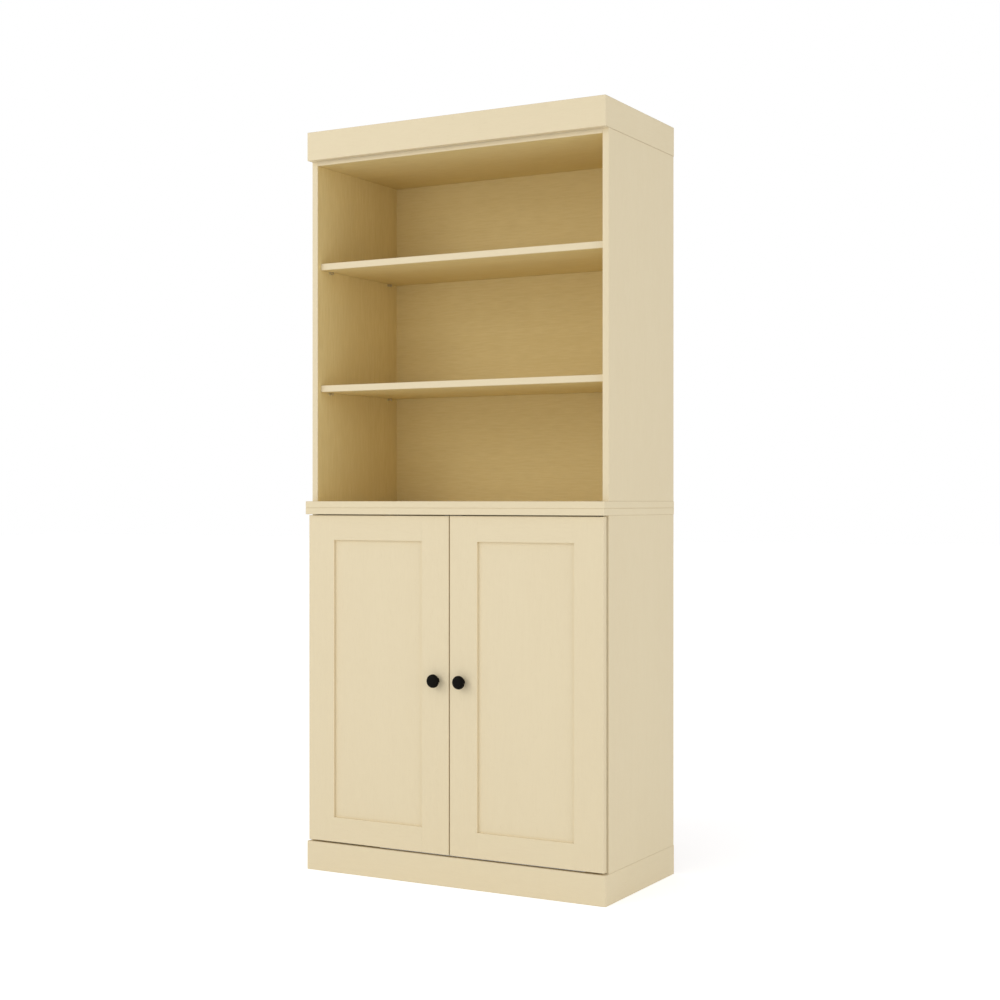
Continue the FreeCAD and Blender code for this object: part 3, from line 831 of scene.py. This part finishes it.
@dataclass(frozen=True)
class Hardboard:
    """Thin back panel: foil towards the room, all in the painted bay shade, brown pressed fibre towards the
    wall.
    """

    foil: Laminate = Laminate()
    grain: Grain = Grain.ACROSS
    light: Triple = (0.34, 0.22, 0.125)
    dark: Triple = (0.24, 0.145, 0.078)
    flakes: float = 900.0           # flakes a metre
    flake_share: float = 0.7
    smudge_share: float = 0.15
    foil_share: float = 0.2         # front part of the thickness that is foil
    roughness: float = 0.5
    rear_rough: float = 0.3
    fibre_height: float = 0.4
    seam_height: float = 0.6
    relief: Relief = Relief(strength=0.4, depth=0.12 * MM)

    def material(self, node: str, effects: Effects) -> bpy.types.Material:
        """The finish of one back panel.

        Args:
            node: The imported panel.
            effects: The shared effects.

        Returns:
            The material.
        """
        shading = Shading("hardboard_" + node)
        wiring = shading.wiring
        low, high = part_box(node)
        place = wiring.place()
        wood = effects.wood.use(wiring, Place=wiring.place(letter_shift(node), self.grain.value))
        used = effects.handling.use(wiring, Place=place)
        chips = effects.chips.use(wiring, Place=place, Size=self.flakes)
        weave = wiring.total(0.0, (chips["Flake"], self.flake_share), (used["Smudge"], self.smudge_share))
        # the face towards the room is all in the painted bay shade
        front = self.foil.foil(wiring, wood, 1.0)
        rear = wiring.blend(weave, self.light, self.dark)
        behind = wiring.behind(place, low.y + self.foil_share * (high.y - low.y))
        seams = wiring.math("MULTIPLY", chips["Seam"], behind)
        height = wiring.total(0.0, (wood["Fibre"], self.fibre_height), (seams, self.seam_height))
        rough = wiring.total(self.roughness, (behind, self.rear_rough))
        shading.hold("Specular IOR Level", self.foil.specular)
        shading.vary(wiring.blend(behind, front, rear), rough, height, self.relief)
        return shading.material


@dataclass(frozen=True)
class Metal:
    """Plated or bare metal with brushing along one axis."""

    name: str
    colour: Triple
    roughness: float
    grain: Grain = Grain.UPRIGHT
    dull: float = 0.72              # brightness of its dullest patches
    smudge_share: float = 0.35
    line_rough: float = 0.16
    scratch_rough: float = 0.12
    relief: Relief = Relief(strength=0.18, depth=0.03 * MM)

    def material(self, effects: Effects) -> bpy.types.Material:
        """The metal's material.

        Args:
            effects: The shared effects.

        Returns:
            The material.
        """
        shading = Shading(self.name)
        wiring = shading.wiring
        lines = effects.brushing.use(wiring, Place=wiring.place(turn=self.grain.value))
        used = effects.handling.use(wiring, Place=wiring.place())
        dull = tuple(self.dull * part for part in self.colour)
        smudges = wiring.math("MULTIPLY", used["Smudge"], self.smudge_share)
        rough = wiring.total(self.roughness, (lines["Line"], self.line_rough),
                             (lines["Scratch"], self.scratch_rough))
        height = wiring.math("SUBTRACT", lines["Line"], lines["Scratch"])
        shading.hold("Metallic", 1.0)
        shading.vary(wiring.blend(smudges, self.colour, dull), rough, height, self.relief)
        return shading.material


@dataclass(frozen=True)
class Coating:
    """Paint or moulded plastic: an even colour with a fine pebbled skin."""

    name: str
    colour: Triple
    worn: Triple
    roughness: float
    specular: float
    pebbles: Ripple
    relief: Relief
    smudge_share: float = 0.4
    dust_share: float = 0.3
    smudge_rough: float = 0.12

    def material(self, effects: Effects) -> bpy.types.Material:
        """The coating's material.

        Args:
            effects: The shared effects.

        Returns:
            The material.
        """
        shading = Shading(self.name)
        wiring = shading.wiring
        place = wiring.place()
        used = effects.handling.use(wiring, Place=place)
        share = wiring.total(0.0, (used["Smudge"], self.smudge_share), (used["Dust"], self.dust_share))
        colour = wiring.blend(share, self.colour, self.worn)
        rough = wiring.total(self.roughness, (used["Smudge"], self.smudge_rough))
        shading.hold("Specular IOR Level", self.specular)
        shading.vary(colour, rough, wiring.noise(place, self.pebbles), self.relief)
        return shading.material


@dataclass(frozen=True)
class Softwood:
    """Sawn pine of the glue blocks."""

    early: Triple = (0.66, 0.47, 0.26)
    late: Triple = (0.50, 0.30, 0.13)
    rings: Span = (0.42, 0.58)      # streak values between which early wood turns to late wood
    roughness: Span = (0.60, 0.85)
    relief: Relief = Relief(strength=0.5, depth=0.3 * MM)

    def material(self, effects: Effects) -> bpy.types.Material:
        """The wood's material.

        Args:
            effects: The shared effects.

        Returns:
            The material.
        """
        shading = Shading("sawn_pine")
        wiring = shading.wiring
        wood = effects.wood.use(wiring, Place=wiring.place())
        rings = wiring.band(wood["Streak"], *self.rings)
        colour = wiring.blend(rings, self.early, self.late)
        rough = wiring.band(wood["Fibre"], 0.0, 1.0, *self.roughness)
        shading.vary(colour, rough, wood["Fibre"], self.relief)
        return shading.material


def wear(node: str, material: bpy.types.Material) -> None:
    """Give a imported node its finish.

    Args:
        node: The node.
        material: The finish.
    """
    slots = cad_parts[node].data.materials
    slots.clear()
    slots.append(material)
    LOG.info("%s: wears %s", node, material.name)


class Palette:
    """Every finish of the piece, made once."""

    def __init__(self) -> None:
        """Build the shared effects and the materials that whole pieces share."""
        self.effects = Effects()
        self.bay = Bay.measured()
        self.laminate = Laminate()
        self.hardboard = Hardboard()
        self.knob_black = Coating(
            "knob_black", colour=(0.0026, 0.0020, 0.0012), worn=(0.0060, 0.0050, 0.0036), roughness=0.40,
            specular=0.06, pebbles=Ripple(even(900.0), detail=1.0),
            relief=Relief(strength=0.3, depth=0.05 * MM),
        ).material(self.effects)
        self.catch_plastic = Coating(
            "catch_plastic", colour=(0.66, 0.63, 0.56), worn=(0.52, 0.48, 0.40), roughness=0.45,
            specular=0.50, pebbles=Ripple(even(1400.0), detail=1.0),
            relief=Relief(strength=0.3, depth=0.04 * MM),
        ).material(self.effects)
        self.nickel = Metal("nickel_plate", colour=(0.66, 0.64, 0.60), roughness=0.22).material(self.effects)
        self.zinc = Metal("zinc_plate", colour=(0.60, 0.61, 0.62), roughness=0.30).material(self.effects)
        self.pole_steel = Metal(
            "pole_steel", colour=(0.42, 0.41, 0.40), roughness=0.34, grain=Grain.ACROSS,
        ).material(self.effects)
        self.pine = Softwood().material(self.effects)

    def foil(self, boards: list[Board]) -> None:
        """Give each board a foil of its own."""
        for board in boards:
            wear(board.node, self.laminate.material(board, self.effects, self.bay))

    def back(self, node: str) -> None:
        """Give a back panel its two faces."""
        wear(node, self.hardboard.material(node, self.effects))


# ---------------------------------------------------------------------------
# Screws
# ---------------------------------------------------------------------------
class Screw(Enum):
    """The pan heads in use: radius, height and depth of the cross recess."""

    KNOB = (4.4 * MM, 2.0 * MM, 1.3 * MM)
    PLATE = (3.6 * MM, 1.8 * MM, 1.2 * MM)
    FITTING = (3.4 * MM, 1.5 * MM, 1.0 * MM)
    ARM = (3.2 * MM, 1.0 * MM, 0.8 * MM)
    STRIKE = (3.0 * MM, 1.3 * MM, 0.9 * MM)


@dataclass
class ScrewHeads:
    """A group of pan heads with a cross recess, all on one body."""

    name: str
    body: Body
    screw: Screw
    arm_width: float = 0.20         # half width of a recess arm, as a share of the radius
    arm_length: float = 0.58        # length of a recess arm, as a share of the radius
    flank: float = 0.5              # share of the half width that is its sloped flank
    run_out: float = 0.6            # share of the length over which it rises at its end
    dome_power: int = 3             # how long the dome stays flat before it falls off
    rings: int = 18
    columns: int = 64

    def head(self) -> Array:
        """One head, standing on z = 0.

        The top is a dome, height * (1 - (r / radius) ** dome_power) ** 0.5,
        less the recess, which is its depth times the deeper of two crossed
        arms.  An arm falls off smoothly at its end and at its flanks.

        Returns:
            A closed grid of points from the dome's middle to the foot's middle.
        """
        radius, height, recess = self.screw.value
        share = np.linspace(0.0, 1.0, self.rings)
        grid = turned(radius * share, height * np.sqrt(1.0 - share ** self.dome_power), self.columns)
        x, y = grid[..., 0] / radius, grid[..., 1] / radius
        grid[..., 2] -= recess * np.maximum(self.arm(x, y), self.arm(y, x))
        return footed(grid)

    def arm(self, along: Array, beside: Array) -> Array:
        """How deep a recess arm is.

        It is the flank's rise, (arm_width - |beside|) / (flank * arm_width),
        times the root of the end's rise, (arm_length - |along|) / (run_out *
        arm_length), each kept within 0 and 1.

        Args:
            along: Places along the arm, as shares of the radius.
            beside: Places beside it, as shares of the radius.

        Returns:
            Depths from 0 to 1.
        """
        flank = np.clip((self.arm_width - np.abs(beside)) / (self.flank * self.arm_width), 0.0, 1.0)
        end = np.clip((self.arm_length - np.abs(along)) / (self.run_out * self.arm_length), 0.0, 1.0)
        return flank * np.sqrt(end)

    def build(self, seats: list[Seat], material: bpy.types.Material) -> None:
        """Put one head on each seat.

        Args:
            seats: Where the heads sit.
            material: Their finish.
        """
        skin = Skin(self.name)
        head = self.head()
        for seat in seats:
            skin.add(seat.place(head))
        skin.finish(self.body, material)


# ---------------------------------------------------------------------------
# Sub-assemblies
# ---------------------------------------------------------------------------
@dataclass
class Knob:
    """A turned knob: a foot on the door, a waisted neck and a softly crowned head."""

    side: Side
    head_roundness: float = 2.7     # power of the head's superellipse; 2 is a plain ellipse
    front_share: float = 0.36       # head in front of its widest circle, as a share of the projection
    back_share: float = 0.16
    neck_share: float = 0.36        # neck radius, as a share of the head's
    foot_share: float = 0.52
    meet_share: float = 1.25        # neck meets head where the head is this many necks wide
    head_power: int = 6             # how late the neck widens on its way up to the head
    foot_power: int = 4             # how late it widens on its way down to the foot
    face_rings: int = 20
    back_rings: int = 14
    neck_rings: int = 18
    columns: int = 96

    def profile(self, radius: float, reach: float) -> tuple[Array, Array]:
        """The knob's outline from the middle of its face to the middle of its foot.

        The head is a superellipse, (r / radius) ** n + (h / depth) ** n = 1,
        with one depth in front of the widest circle and another behind it.
        The neck's radius grows by shoulder * way ** head_power, where way goes
        from 0 at the foot to 1 at the head, and by flare * (1 - way) ** foot_power.

        Args:
            radius: The head's largest radius.
            reach: Distance from the door to the middle of the face.

        Returns:
            Radii and heights of the outline's points.
        """
        power = 2.0 / self.head_roundness
        widest = reach * (1.0 - self.front_share)
        turn = np.linspace(0.0, math.pi / 2.0, self.face_rings)
        front_radius = radius * np.sin(turn) ** power
        front_height = widest + reach * self.front_share * np.cos(turn) ** power
        fall = np.linspace(math.pi / 2.0, 0.0, self.back_rings)[1:]
        back_radius = radius * np.sin(fall) ** power
        back_height = widest - reach * self.back_share * np.cos(fall) ** power
        neck = radius * self.neck_share
        head = back_radius > self.meet_share * neck
        top = back_height[head][-1]
        way = np.linspace(1.0, 0.0, self.neck_rings)[1:]
        shoulder = back_radius[head][-1] - neck
        flare = radius * self.foot_share - neck
        neck_radius = neck + shoulder * way ** self.head_power + flare * (1.0 - way) ** self.foot_power
        return (
            np.concatenate((front_radius, back_radius[head], neck_radius, (0.0,))),
            np.concatenate((front_height, back_height[head], top * way, (0.0,))),
        )

    def build(self, palette: Palette) -> None:
        """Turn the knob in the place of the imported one, and put its screw behind the stile.

        Args:
            palette: The finishes.
        """
        word = self.side.word
        low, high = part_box(word + "_knob")
        x, z = (low.x + high.x) / 2.0, (low.z + high.z) / 2.0
        radius, height = self.profile((high.x - low.x) / 2.0, high.y - low.y)
        skin = Skin(word + "_knob_turned")
        skin.add(Seat((x, high.y, z), FORWARD).place(turned(radius, height, self.columns)))
        skin.finish(self.side.door, palette.knob_black, (word + "_knob",))
        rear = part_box(word + "_meeting_stile")[1].y
        screw = ScrewHeads(word + "_knob_screw_head", self.side.door, Screw.KNOB)
        screw.build([Seat((x, rear, z), REARWARD)], palette.zinc)


@dataclass
class Hinges:
    """Plated cup hinges of one door and the screws that hold them."""

    side: Side
    wing_offset: float = 9.5 * MM   # from the cup's middle to the middle of its wings
    wing_length: float = 62.0 * MM
    cup_screw_pitch: float = 48.0 * MM
    plate_thick: float = 1.6 * MM
    plate_span: float = 50.0 * MM
    plate_screw_pitch: float = 32.0 * MM
    arm_width: float = 13.0 * MM
    arm_screws: Span = (9.0 * MM, 34.0 * MM)    # from the arm's rear end

    def levels(self, node: str, reach: float) -> Span:
        """Levels of the lower and upper hinge, from a node that reaches so far past both."""
        low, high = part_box(node)
        return low.z + reach, high.z - reach

    def pairs(self, node: str, span: float, pitch: float) -> list[float]:
        """Levels of the two screws at each hinge.

        Args:
            node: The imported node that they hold.
            span: Height of one of its pieces.
            pitch: Distance between the two screws.

        Returns:
            Four levels.
        """
        half = pitch / 2.0
        return [level + rise for level in self.levels(node, span / 2.0) for rise in (-half, half)]

    def build(self, palette: Palette) -> None:
        """Plate the hinges, and put screw heads on the cups' wings, the plates and the arms.

        Args:
            palette: The finishes.
        """
        stem = self.side.word + "_hinge_"
        for part in ("cups", "pins", "arms", "plates"):
            wear(stem + part, palette.nickel)
        self.screw_cups(stem + "cups", palette)
        self.screw_plates(stem + "plates", palette)
        self.screw_arms(stem + "arms", palette)

    def screw_cups(self, node: str, palette: Palette) -> None:
        """Put two heads on the wings of each cup.

        Args:
            node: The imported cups.
            palette: The finishes.
        """
        low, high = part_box(node)
        wing = (low.x + high.x) / 2.0 - self.side.sign * self.wing_offset
        seats = [Seat((wing, high.y, level), REARWARD)
                 for level in self.pairs(node, self.wing_length, self.cup_screw_pitch)]
        heads = ScrewHeads(self.side.word + "_cup_screw_heads", self.side.door, Screw.FITTING)
        heads.build(seats, palette.zinc)

    def screw_plates(self, node: str, palette: Palette) -> None:
        """Put two heads on each mounting plate, above and below its arm.

        Args:
            node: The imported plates.
            palette: The finishes.
        """
        low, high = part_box(node)
        wall = high.x if self.side is Side.RIGHT else low.x
        face = (wall - self.side.sign * self.plate_thick, (low.y + high.y) / 2.0)
        seats = [Seat((*face, level), (-self.side.sign, 0.0, 0.0))
                 for level in self.pairs(node, self.plate_span, self.plate_screw_pitch)]
        heads = ScrewHeads(self.side.word + "_plate_screw_heads", Body.ROOT, Screw.PLATE)
        heads.build(seats, palette.zinc)

    def screw_arms(self, node: str, palette: Palette) -> None:
        """Put the fixing screw and the side adjusting screw on the back of each arm.

        Args:
            node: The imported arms.
            palette: The finishes.
        """
        low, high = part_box(node)
        web = low.x if self.side is Side.RIGHT else high.x
        seats = [Seat((web, high.y - back, level), (-self.side.sign, 0.0, 0.0))
                 for level in self.levels(node, self.arm_width / 2.0)
                 for back in self.arm_screws]
        heads = ScrewHeads(self.side.word + "_arm_screw_heads", Body.ROOT, Screw.ARM)
        heads.build(seats, palette.zinc)


@dataclass
class Strike:
    """A stamped steel plate on a door's back that the catch pulls on."""

    side: Side
    corner: float = 2.5 * MM
    edge_share: float = 0.8         # rounding of the plate's edges, as a share of half its thickness
    screw_rise: float = 5.5 * MM    # screw above the plate's lower edge, below the catch

    def build(self, palette: Palette) -> None:
        """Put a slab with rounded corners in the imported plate's place, and its screw.

        Args:
            palette: The finishes.
        """
        word = self.side.word
        low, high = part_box(word + "_strike_plate")
        half = (high - low) / 2.0
        middle = (high + low) / 2.0
        skin = Skin(word + "_strike_stamped")
        slab = rounded_slab((half.x, half.z, half.y), self.corner, self.edge_share * half.y)
        skin.add(Seat(tuple(middle), REARWARD).place(slab))
        skin.finish(self.side.door, palette.zinc, (word + "_strike_plate",))
        seat = Seat((middle.x, high.y, low.z + self.screw_rise), REARWARD)
        ScrewHeads(word + "_strike_screw_head", self.side.door, Screw.STRIKE).build([seat], palette.zinc)


@dataclass
class Catch:
    """Double magnetic catch under the counter: a moulded housing and steel pole plates."""

    corner: float = 3.0 * MM
    edge: float = 1.2 * MM
    pole_length: float = 17.0 * MM
    pole_height: float = 2.2 * MM
    pole_edge: float = 0.15 * MM
    pole_stand: float = 0.2 * MM    # poles in front of the housing
    pole_depth: float = 2.4 * MM    # length of a pole plate's end that shows or is let in
    pole_rises: Span = (-3.2 * MM, 3.2 * MM)
    magnet_places: Span = (-12.0 * MM, 12.0 * MM)

    def build(self, palette: Palette) -> None:
        """Mould the housing, set the poles in its face and a screw in its underside.

        Args:
            palette: The finishes.
        """
        low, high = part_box("magnetic_catch")
        middle = (high + low) / 2.0
        half = (high - low) / 2.0
        front = low.y + self.pole_stand
        depth = (high.y - front) / 2.0
        housing = Skin("catch_housing")
        slab = rounded_slab((half.x, half.z, depth), self.corner, self.edge)
        housing.add(Seat((middle.x, front + depth, middle.z), FORWARD).place(slab))
        housing.finish(Body.ROOT, palette.catch_plastic, ("magnetic_catch",))
        poles = Skin("catch_pole_plates")
        size = (self.pole_length / 2.0, self.pole_height / 2.0, self.pole_depth / 2.0)
        plate = rounded_slab(size, self.pole_height / 2.0, self.pole_edge)
        for place in self.magnet_places:
            for rise in self.pole_rises:
                point = (middle.x + place, low.y + self.pole_depth / 2.0, middle.z + rise)
                poles.add(Seat(point, FORWARD).place(plate))
        poles.finish(Body.ROOT, palette.pole_steel)
        seat = Seat((middle.x, middle.y, low.z), DOWNWARD)
        ScrewHeads("catch_screw_head", Body.ROOT, Screw.FITTING).build([seat], palette.zinc)


@dataclass
class BackNails:
    """Small round nails that hold a back panel in its rabbets."""

    node: str
    level: float                    # height of the board that the panel is nailed to
    margin: float = 4.0 * MM        # nail from the panel's side edge
    end_margin: float = 25.0 * MM
    spacing: float = 130.0 * MM
    radius: float = 1.9 * MM
    height: float = 0.55 * MM
    rings: int = 5
    columns: int = 14

    def head(self) -> Array:
        """One nail head: the dome height * (1 - (r / radius) ** 2) on a closed foot.

        Returns:
            A closed grid of points from the dome's middle to the foot's middle.
        """
        share = np.linspace(0.0, 1.0, self.rings)
        dome = turned(self.radius * share, self.height * (1.0 - share ** 2), self.columns)
        return footed(dome)

    def row(self, start: float, end: float) -> Array:
        """Evenly spaced places from start to end, both included."""
        return np.linspace(start, end, max(2, round((end - start) / self.spacing) + 1))

    def build(self, palette: Palette) -> None:
        """Nail the panel down both sides and along the board.

        Args:
            palette: The finishes.
        """
        low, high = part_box(self.node)
        left, right = low.x + self.margin, high.x - self.margin
        inset = self.spacing / 2.0
        uprights = self.row(low.z + self.end_margin, high.z - self.end_margin)
        places = [(x, z) for x in (left, right) for z in uprights]
        places += [(x, self.level) for x in self.row(left + inset, right - inset)]
        skin = Skin(self.node + "_nails")
        head = self.head()
        for x, z in places:
            skin.add(Seat((x, high.y, z), REARWARD).place(head))
        skin.finish(Body.ROOT, palette.zinc)


@dataclass
class MitredFrame:
    """A front board mitred to two side boards, a rear rail, and glue blocks in the corners."""

    stem: str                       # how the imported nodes' names start
    return_seam: float              # darkness of the painted shade and dirt on the side boards' level edges
    front_seam: float = 0.15

    def build(self, palette: Palette) -> None:
        """Foil the boards and finish the glue blocks.

        Args:
            palette: The finishes.
        """
        boards = [Board(f"{self.stem}_{part}", Grain.ACROSS, seam=self.front_seam)
                  for part in ("front_board", "rear_rail")]
        boards += [Board(f"{self.stem}_{side.word}_board", Grain.DEEP, seam=self.return_seam)
                   for side in Side]
        palette.foil(boards)
        wear(self.stem + "_corner_blocks", palette.pine)


@dataclass
class Crown(MitredFrame):
    """The frame round the top, and the panel let into it."""

    stem: str = "crown"
    return_seam: float = 0.50

    def build(self, palette: Palette) -> None:
        """Dress the frame and its panel.

        Args:
            palette: The finishes.
        """
        super().build(palette)
        palette.foil([Board("crown_top_panel", Grain.ACROSS)])


@dataclass
class Base(MitredFrame):
    """The frame that the cabinet stands on."""

    stem: str = "base"
    return_seam: float = 0.10


@dataclass
class Unit:
    """One of the two stacked units: sides, level boards, shelves on pins and a nailed back."""

    stem: str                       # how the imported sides' and back's names start
    deck: str                       # its board in the band between the units
    shelves: tuple[str, ...]        # its other level boards
    pins: str
    side_seam: float = 0.20         # darkness of the painted shade and dirt on the level edges
    deck_seam: float = 0.15

    def nail_level(self) -> float:
        """Height of the row of nails that crosses the back panel."""
        raise NotImplementedError

    def build(self, palette: Palette) -> None:
        """Foil the boards, finish back and pins, and nail the back.

        Args:
            palette: The finishes.
        """
        # the sides and level boards bound the bays and get the painted shade there
        boards = [Board(f"{self.stem}_{side.word}_side", Grain.UPRIGHT, in_bay=True, seam=self.side_seam)
                  for side in Side]
        boards.append(Board(self.deck, Grain.ACROSS, in_bay=True, seam=self.deck_seam))
        boards += [Board(node, Grain.ACROSS, in_bay=True) for node in self.shelves]
        palette.foil(boards)
        palette.back(self.stem + "_back_panel")
        wear(self.pins, palette.nickel)
        BackNails(self.stem + "_back_panel", self.nail_level()).build(palette)


@dataclass
class Hutch(Unit):
    """The open upper unit."""

    stem: str = "hutch"
    deck: str = "hutch_bottom_board"
    shelves: tuple[str, ...] = ("hutch_top_board", "lower_shelf", "upper_shelf")
    pins: str = "hutch_shelf_pins"

    def nail_level(self) -> float:
        """Middle of the strip where the back panel laps the top board."""
        return (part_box("hutch_top_board")[0].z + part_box("hutch_back_panel")[1].z) / 2.0


@dataclass
class Cabinet(Unit):
    """The lower unit behind the doors, with its catch and the bolts that hold the hutch."""

    stem: str = "lower"
    deck: str = "counter_top"
    shelves: tuple[str, ...] = ("cabinet_floor_board", "cabinet_shelf")
    pins: str = "cabinet_shelf_pins"

    def nail_level(self) -> float:
        """Middle of the floor board."""
        low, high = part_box("cabinet_floor_board")
        return (low.z + high.z) / 2.0

    def build(self, palette: Palette) -> None:
        """Dress the unit, then add its bolts' finish and the catch.

        Args:
            palette: The finishes.
        """
        super().build(palette)
        wear("joining_bolts", palette.zinc)
        Catch().build(palette)


@dataclass
class Door:
    """One framed door: stiles, rails and panel, knob, hinges and strike."""

    side: Side
    upright: tuple[str, ...] = ("hinge_stile", "meeting_stile", "door_panel")
    across: tuple[str, ...] = ("top_rail", "bottom_rail")

    def build(self, palette: Palette) -> None:
        """Foil the boards, then add the knob, the hinges' finish and screws, and the strike.

        Args:
            palette: The finishes.
        """
        boards = [Board(f"{self.side.word}_{part}", Grain.UPRIGHT) for part in self.upright]
        boards += [Board(f"{self.side.word}_{part}", Grain.ACROSS) for part in self.across]
        palette.foil(boards)
        Knob(self.side).build(palette)
        Hinges(self.side).build(palette)
        Strike(self.side).build(palette)


# ---------------------------------------------------------------------------
# Floor, light and camera
# ---------------------------------------------------------------------------
@dataclass
class Lamp:
    """A soft square lamp that looks at one point."""

    name: str
    place: Triple
    aim: Triple
    width: float
    watts: float

    def build(self) -> None:
        """Hang the lamp and turn it towards its aim."""
        light = bpy.data.lights.new(self.name, "AREA")
        light.size = self.width
        light.energy = self.watts
        lamp = linked(self.name, light)
        lamp.location = self.place
        toward = np.array(self.aim) - np.array(self.place)
        flat = math.hypot(toward[0], toward[1])
        lamp.rotation_euler = (math.atan2(flat, -toward[2]), 0.0, math.atan2(-toward[0], toward[1]))


@dataclass
class Studio:
    """Pale floor, soft lamps, white surroundings and the camera."""

    floor_half: float = 30.0
    floor_colour: Triple = (0.93, 0.93, 0.93)
    floor_roughness: float = 0.9
    floor_specular: float = 0.1
    floor_lift: float = 0.40        # glow that makes the far floor read as white as the surroundings
    ambient: float = 0.68
    white: Triple = (1.0, 1.0, 1.0)
    camera_place: Triple = (2.022, -3.582, 0.910)
    camera_turn: float = math.radians(29.0)
    lens: float = 60.58
    sensor: float = 36.0
    lamps: tuple[Lamp, ...] = (
        Lamp("key_lamp", place=(-2.6, -3.6, 3.4), aim=(0.0, 0.0, 1.0), width=2.2, watts=38.0),
        Lamp("side_lamp", place=(3.5, -1.0, 1.0), aim=(0.4, 0.0, 0.8), width=2.4, watts=23.5),
        Lamp("front_lamp", place=(-1.3, -4.6, 1.6), aim=(0.0, 0.0, 0.8), width=3.0, watts=31.0),
    )

    def build(self) -> None:
        """Set up everything round the piece."""
        self.lay_floor()
        self.light_world()
        for lamp in self.lamps:
            lamp.build()
        self.place_camera()
        bpy.context.scene.view_settings.view_transform = "Standard"

    def lay_floor(self) -> None:
        """Lay a wide plain floor under the piece."""
        half = self.floor_half
        corners = [(-half, -half, 0.0), (half, -half, 0.0), (half, half, 0.0), (-half, half, 0.0)]
        mesh = bpy.data.meshes.new("studio_floor")
        mesh.from_pydata(corners, [], [(0, 1, 2, 3)])
        shading = Shading("studio_floor")
        shading.hold("Base Color", opaque(self.floor_colour))
        shading.hold("Roughness", self.floor_roughness)
        shading.hold("Specular IOR Level", self.floor_specular)
        shading.hold("Emission Color", opaque(self.white))
        lift = shading.wiring.math("MULTIPLY", self.seen(shading.wiring), self.floor_lift)
        shading.wiring.feed(shading.shader.inputs["Emission Strength"], lift)
        mesh.materials.append(shading.material)
        floor = linked("studio_floor", mesh)

    def seen(self, wiring: Wiring) -> Socket:
        """Tell what the camera sees from what only lights the piece.

        Args:
            wiring: The tree that asks.

        Returns:
            1 for what is seen straight on or in a mirror or a glass, else 0.
        """
        path = wiring.add("LightPath").outputs
        mirrored = wiring.math("MAXIMUM", path["Is Glossy Ray"], path["Is Transmission Ray"])
        return wiring.math("MAXIMUM", path["Is Camera Ray"], mirrored)

    def light_world(self) -> None:
        """Make the world white where it is seen or mirrored, and weaker where it lights the piece."""
        world = bpy.data.worlds.new("studio_world")
        bpy.context.scene.world = world
        world.use_nodes = True
        wiring = Wiring(world.node_tree)
        background = next(node for node in world.node_tree.nodes if node.type == "BACKGROUND")
        strength = wiring.total(self.ambient, (self.seen(wiring), 1.0 - self.ambient))
        background.inputs["Color"].default_value = opaque(self.white)
        wiring.feed(background.inputs["Strength"], strength)

    def place_camera(self) -> None:
        """Stand a level camera in front of the piece's right-hand corner."""
        data = bpy.data.cameras.new("camera")
        data.lens = self.lens
        data.sensor_width = self.sensor
        camera = linked("camera", data)
        camera.location = self.camera_place
        camera.rotation_euler = (math.pi / 2.0, 0.0, self.camera_turn)
        bpy.context.scene.camera = camera


def main() -> None:
    """Set up the studio, and dress the piece from its top down."""
    logging.basicConfig(level=logging.INFO, format="%(name)s: %(message)s")
    Studio().build()
    palette = Palette()
    for part in (Crown(), Hutch(), Cabinet(), Base(), Door(Side.LEFT), Door(Side.RIGHT)):
        part.build(palette)


if __name__ == "__main__":
    main()
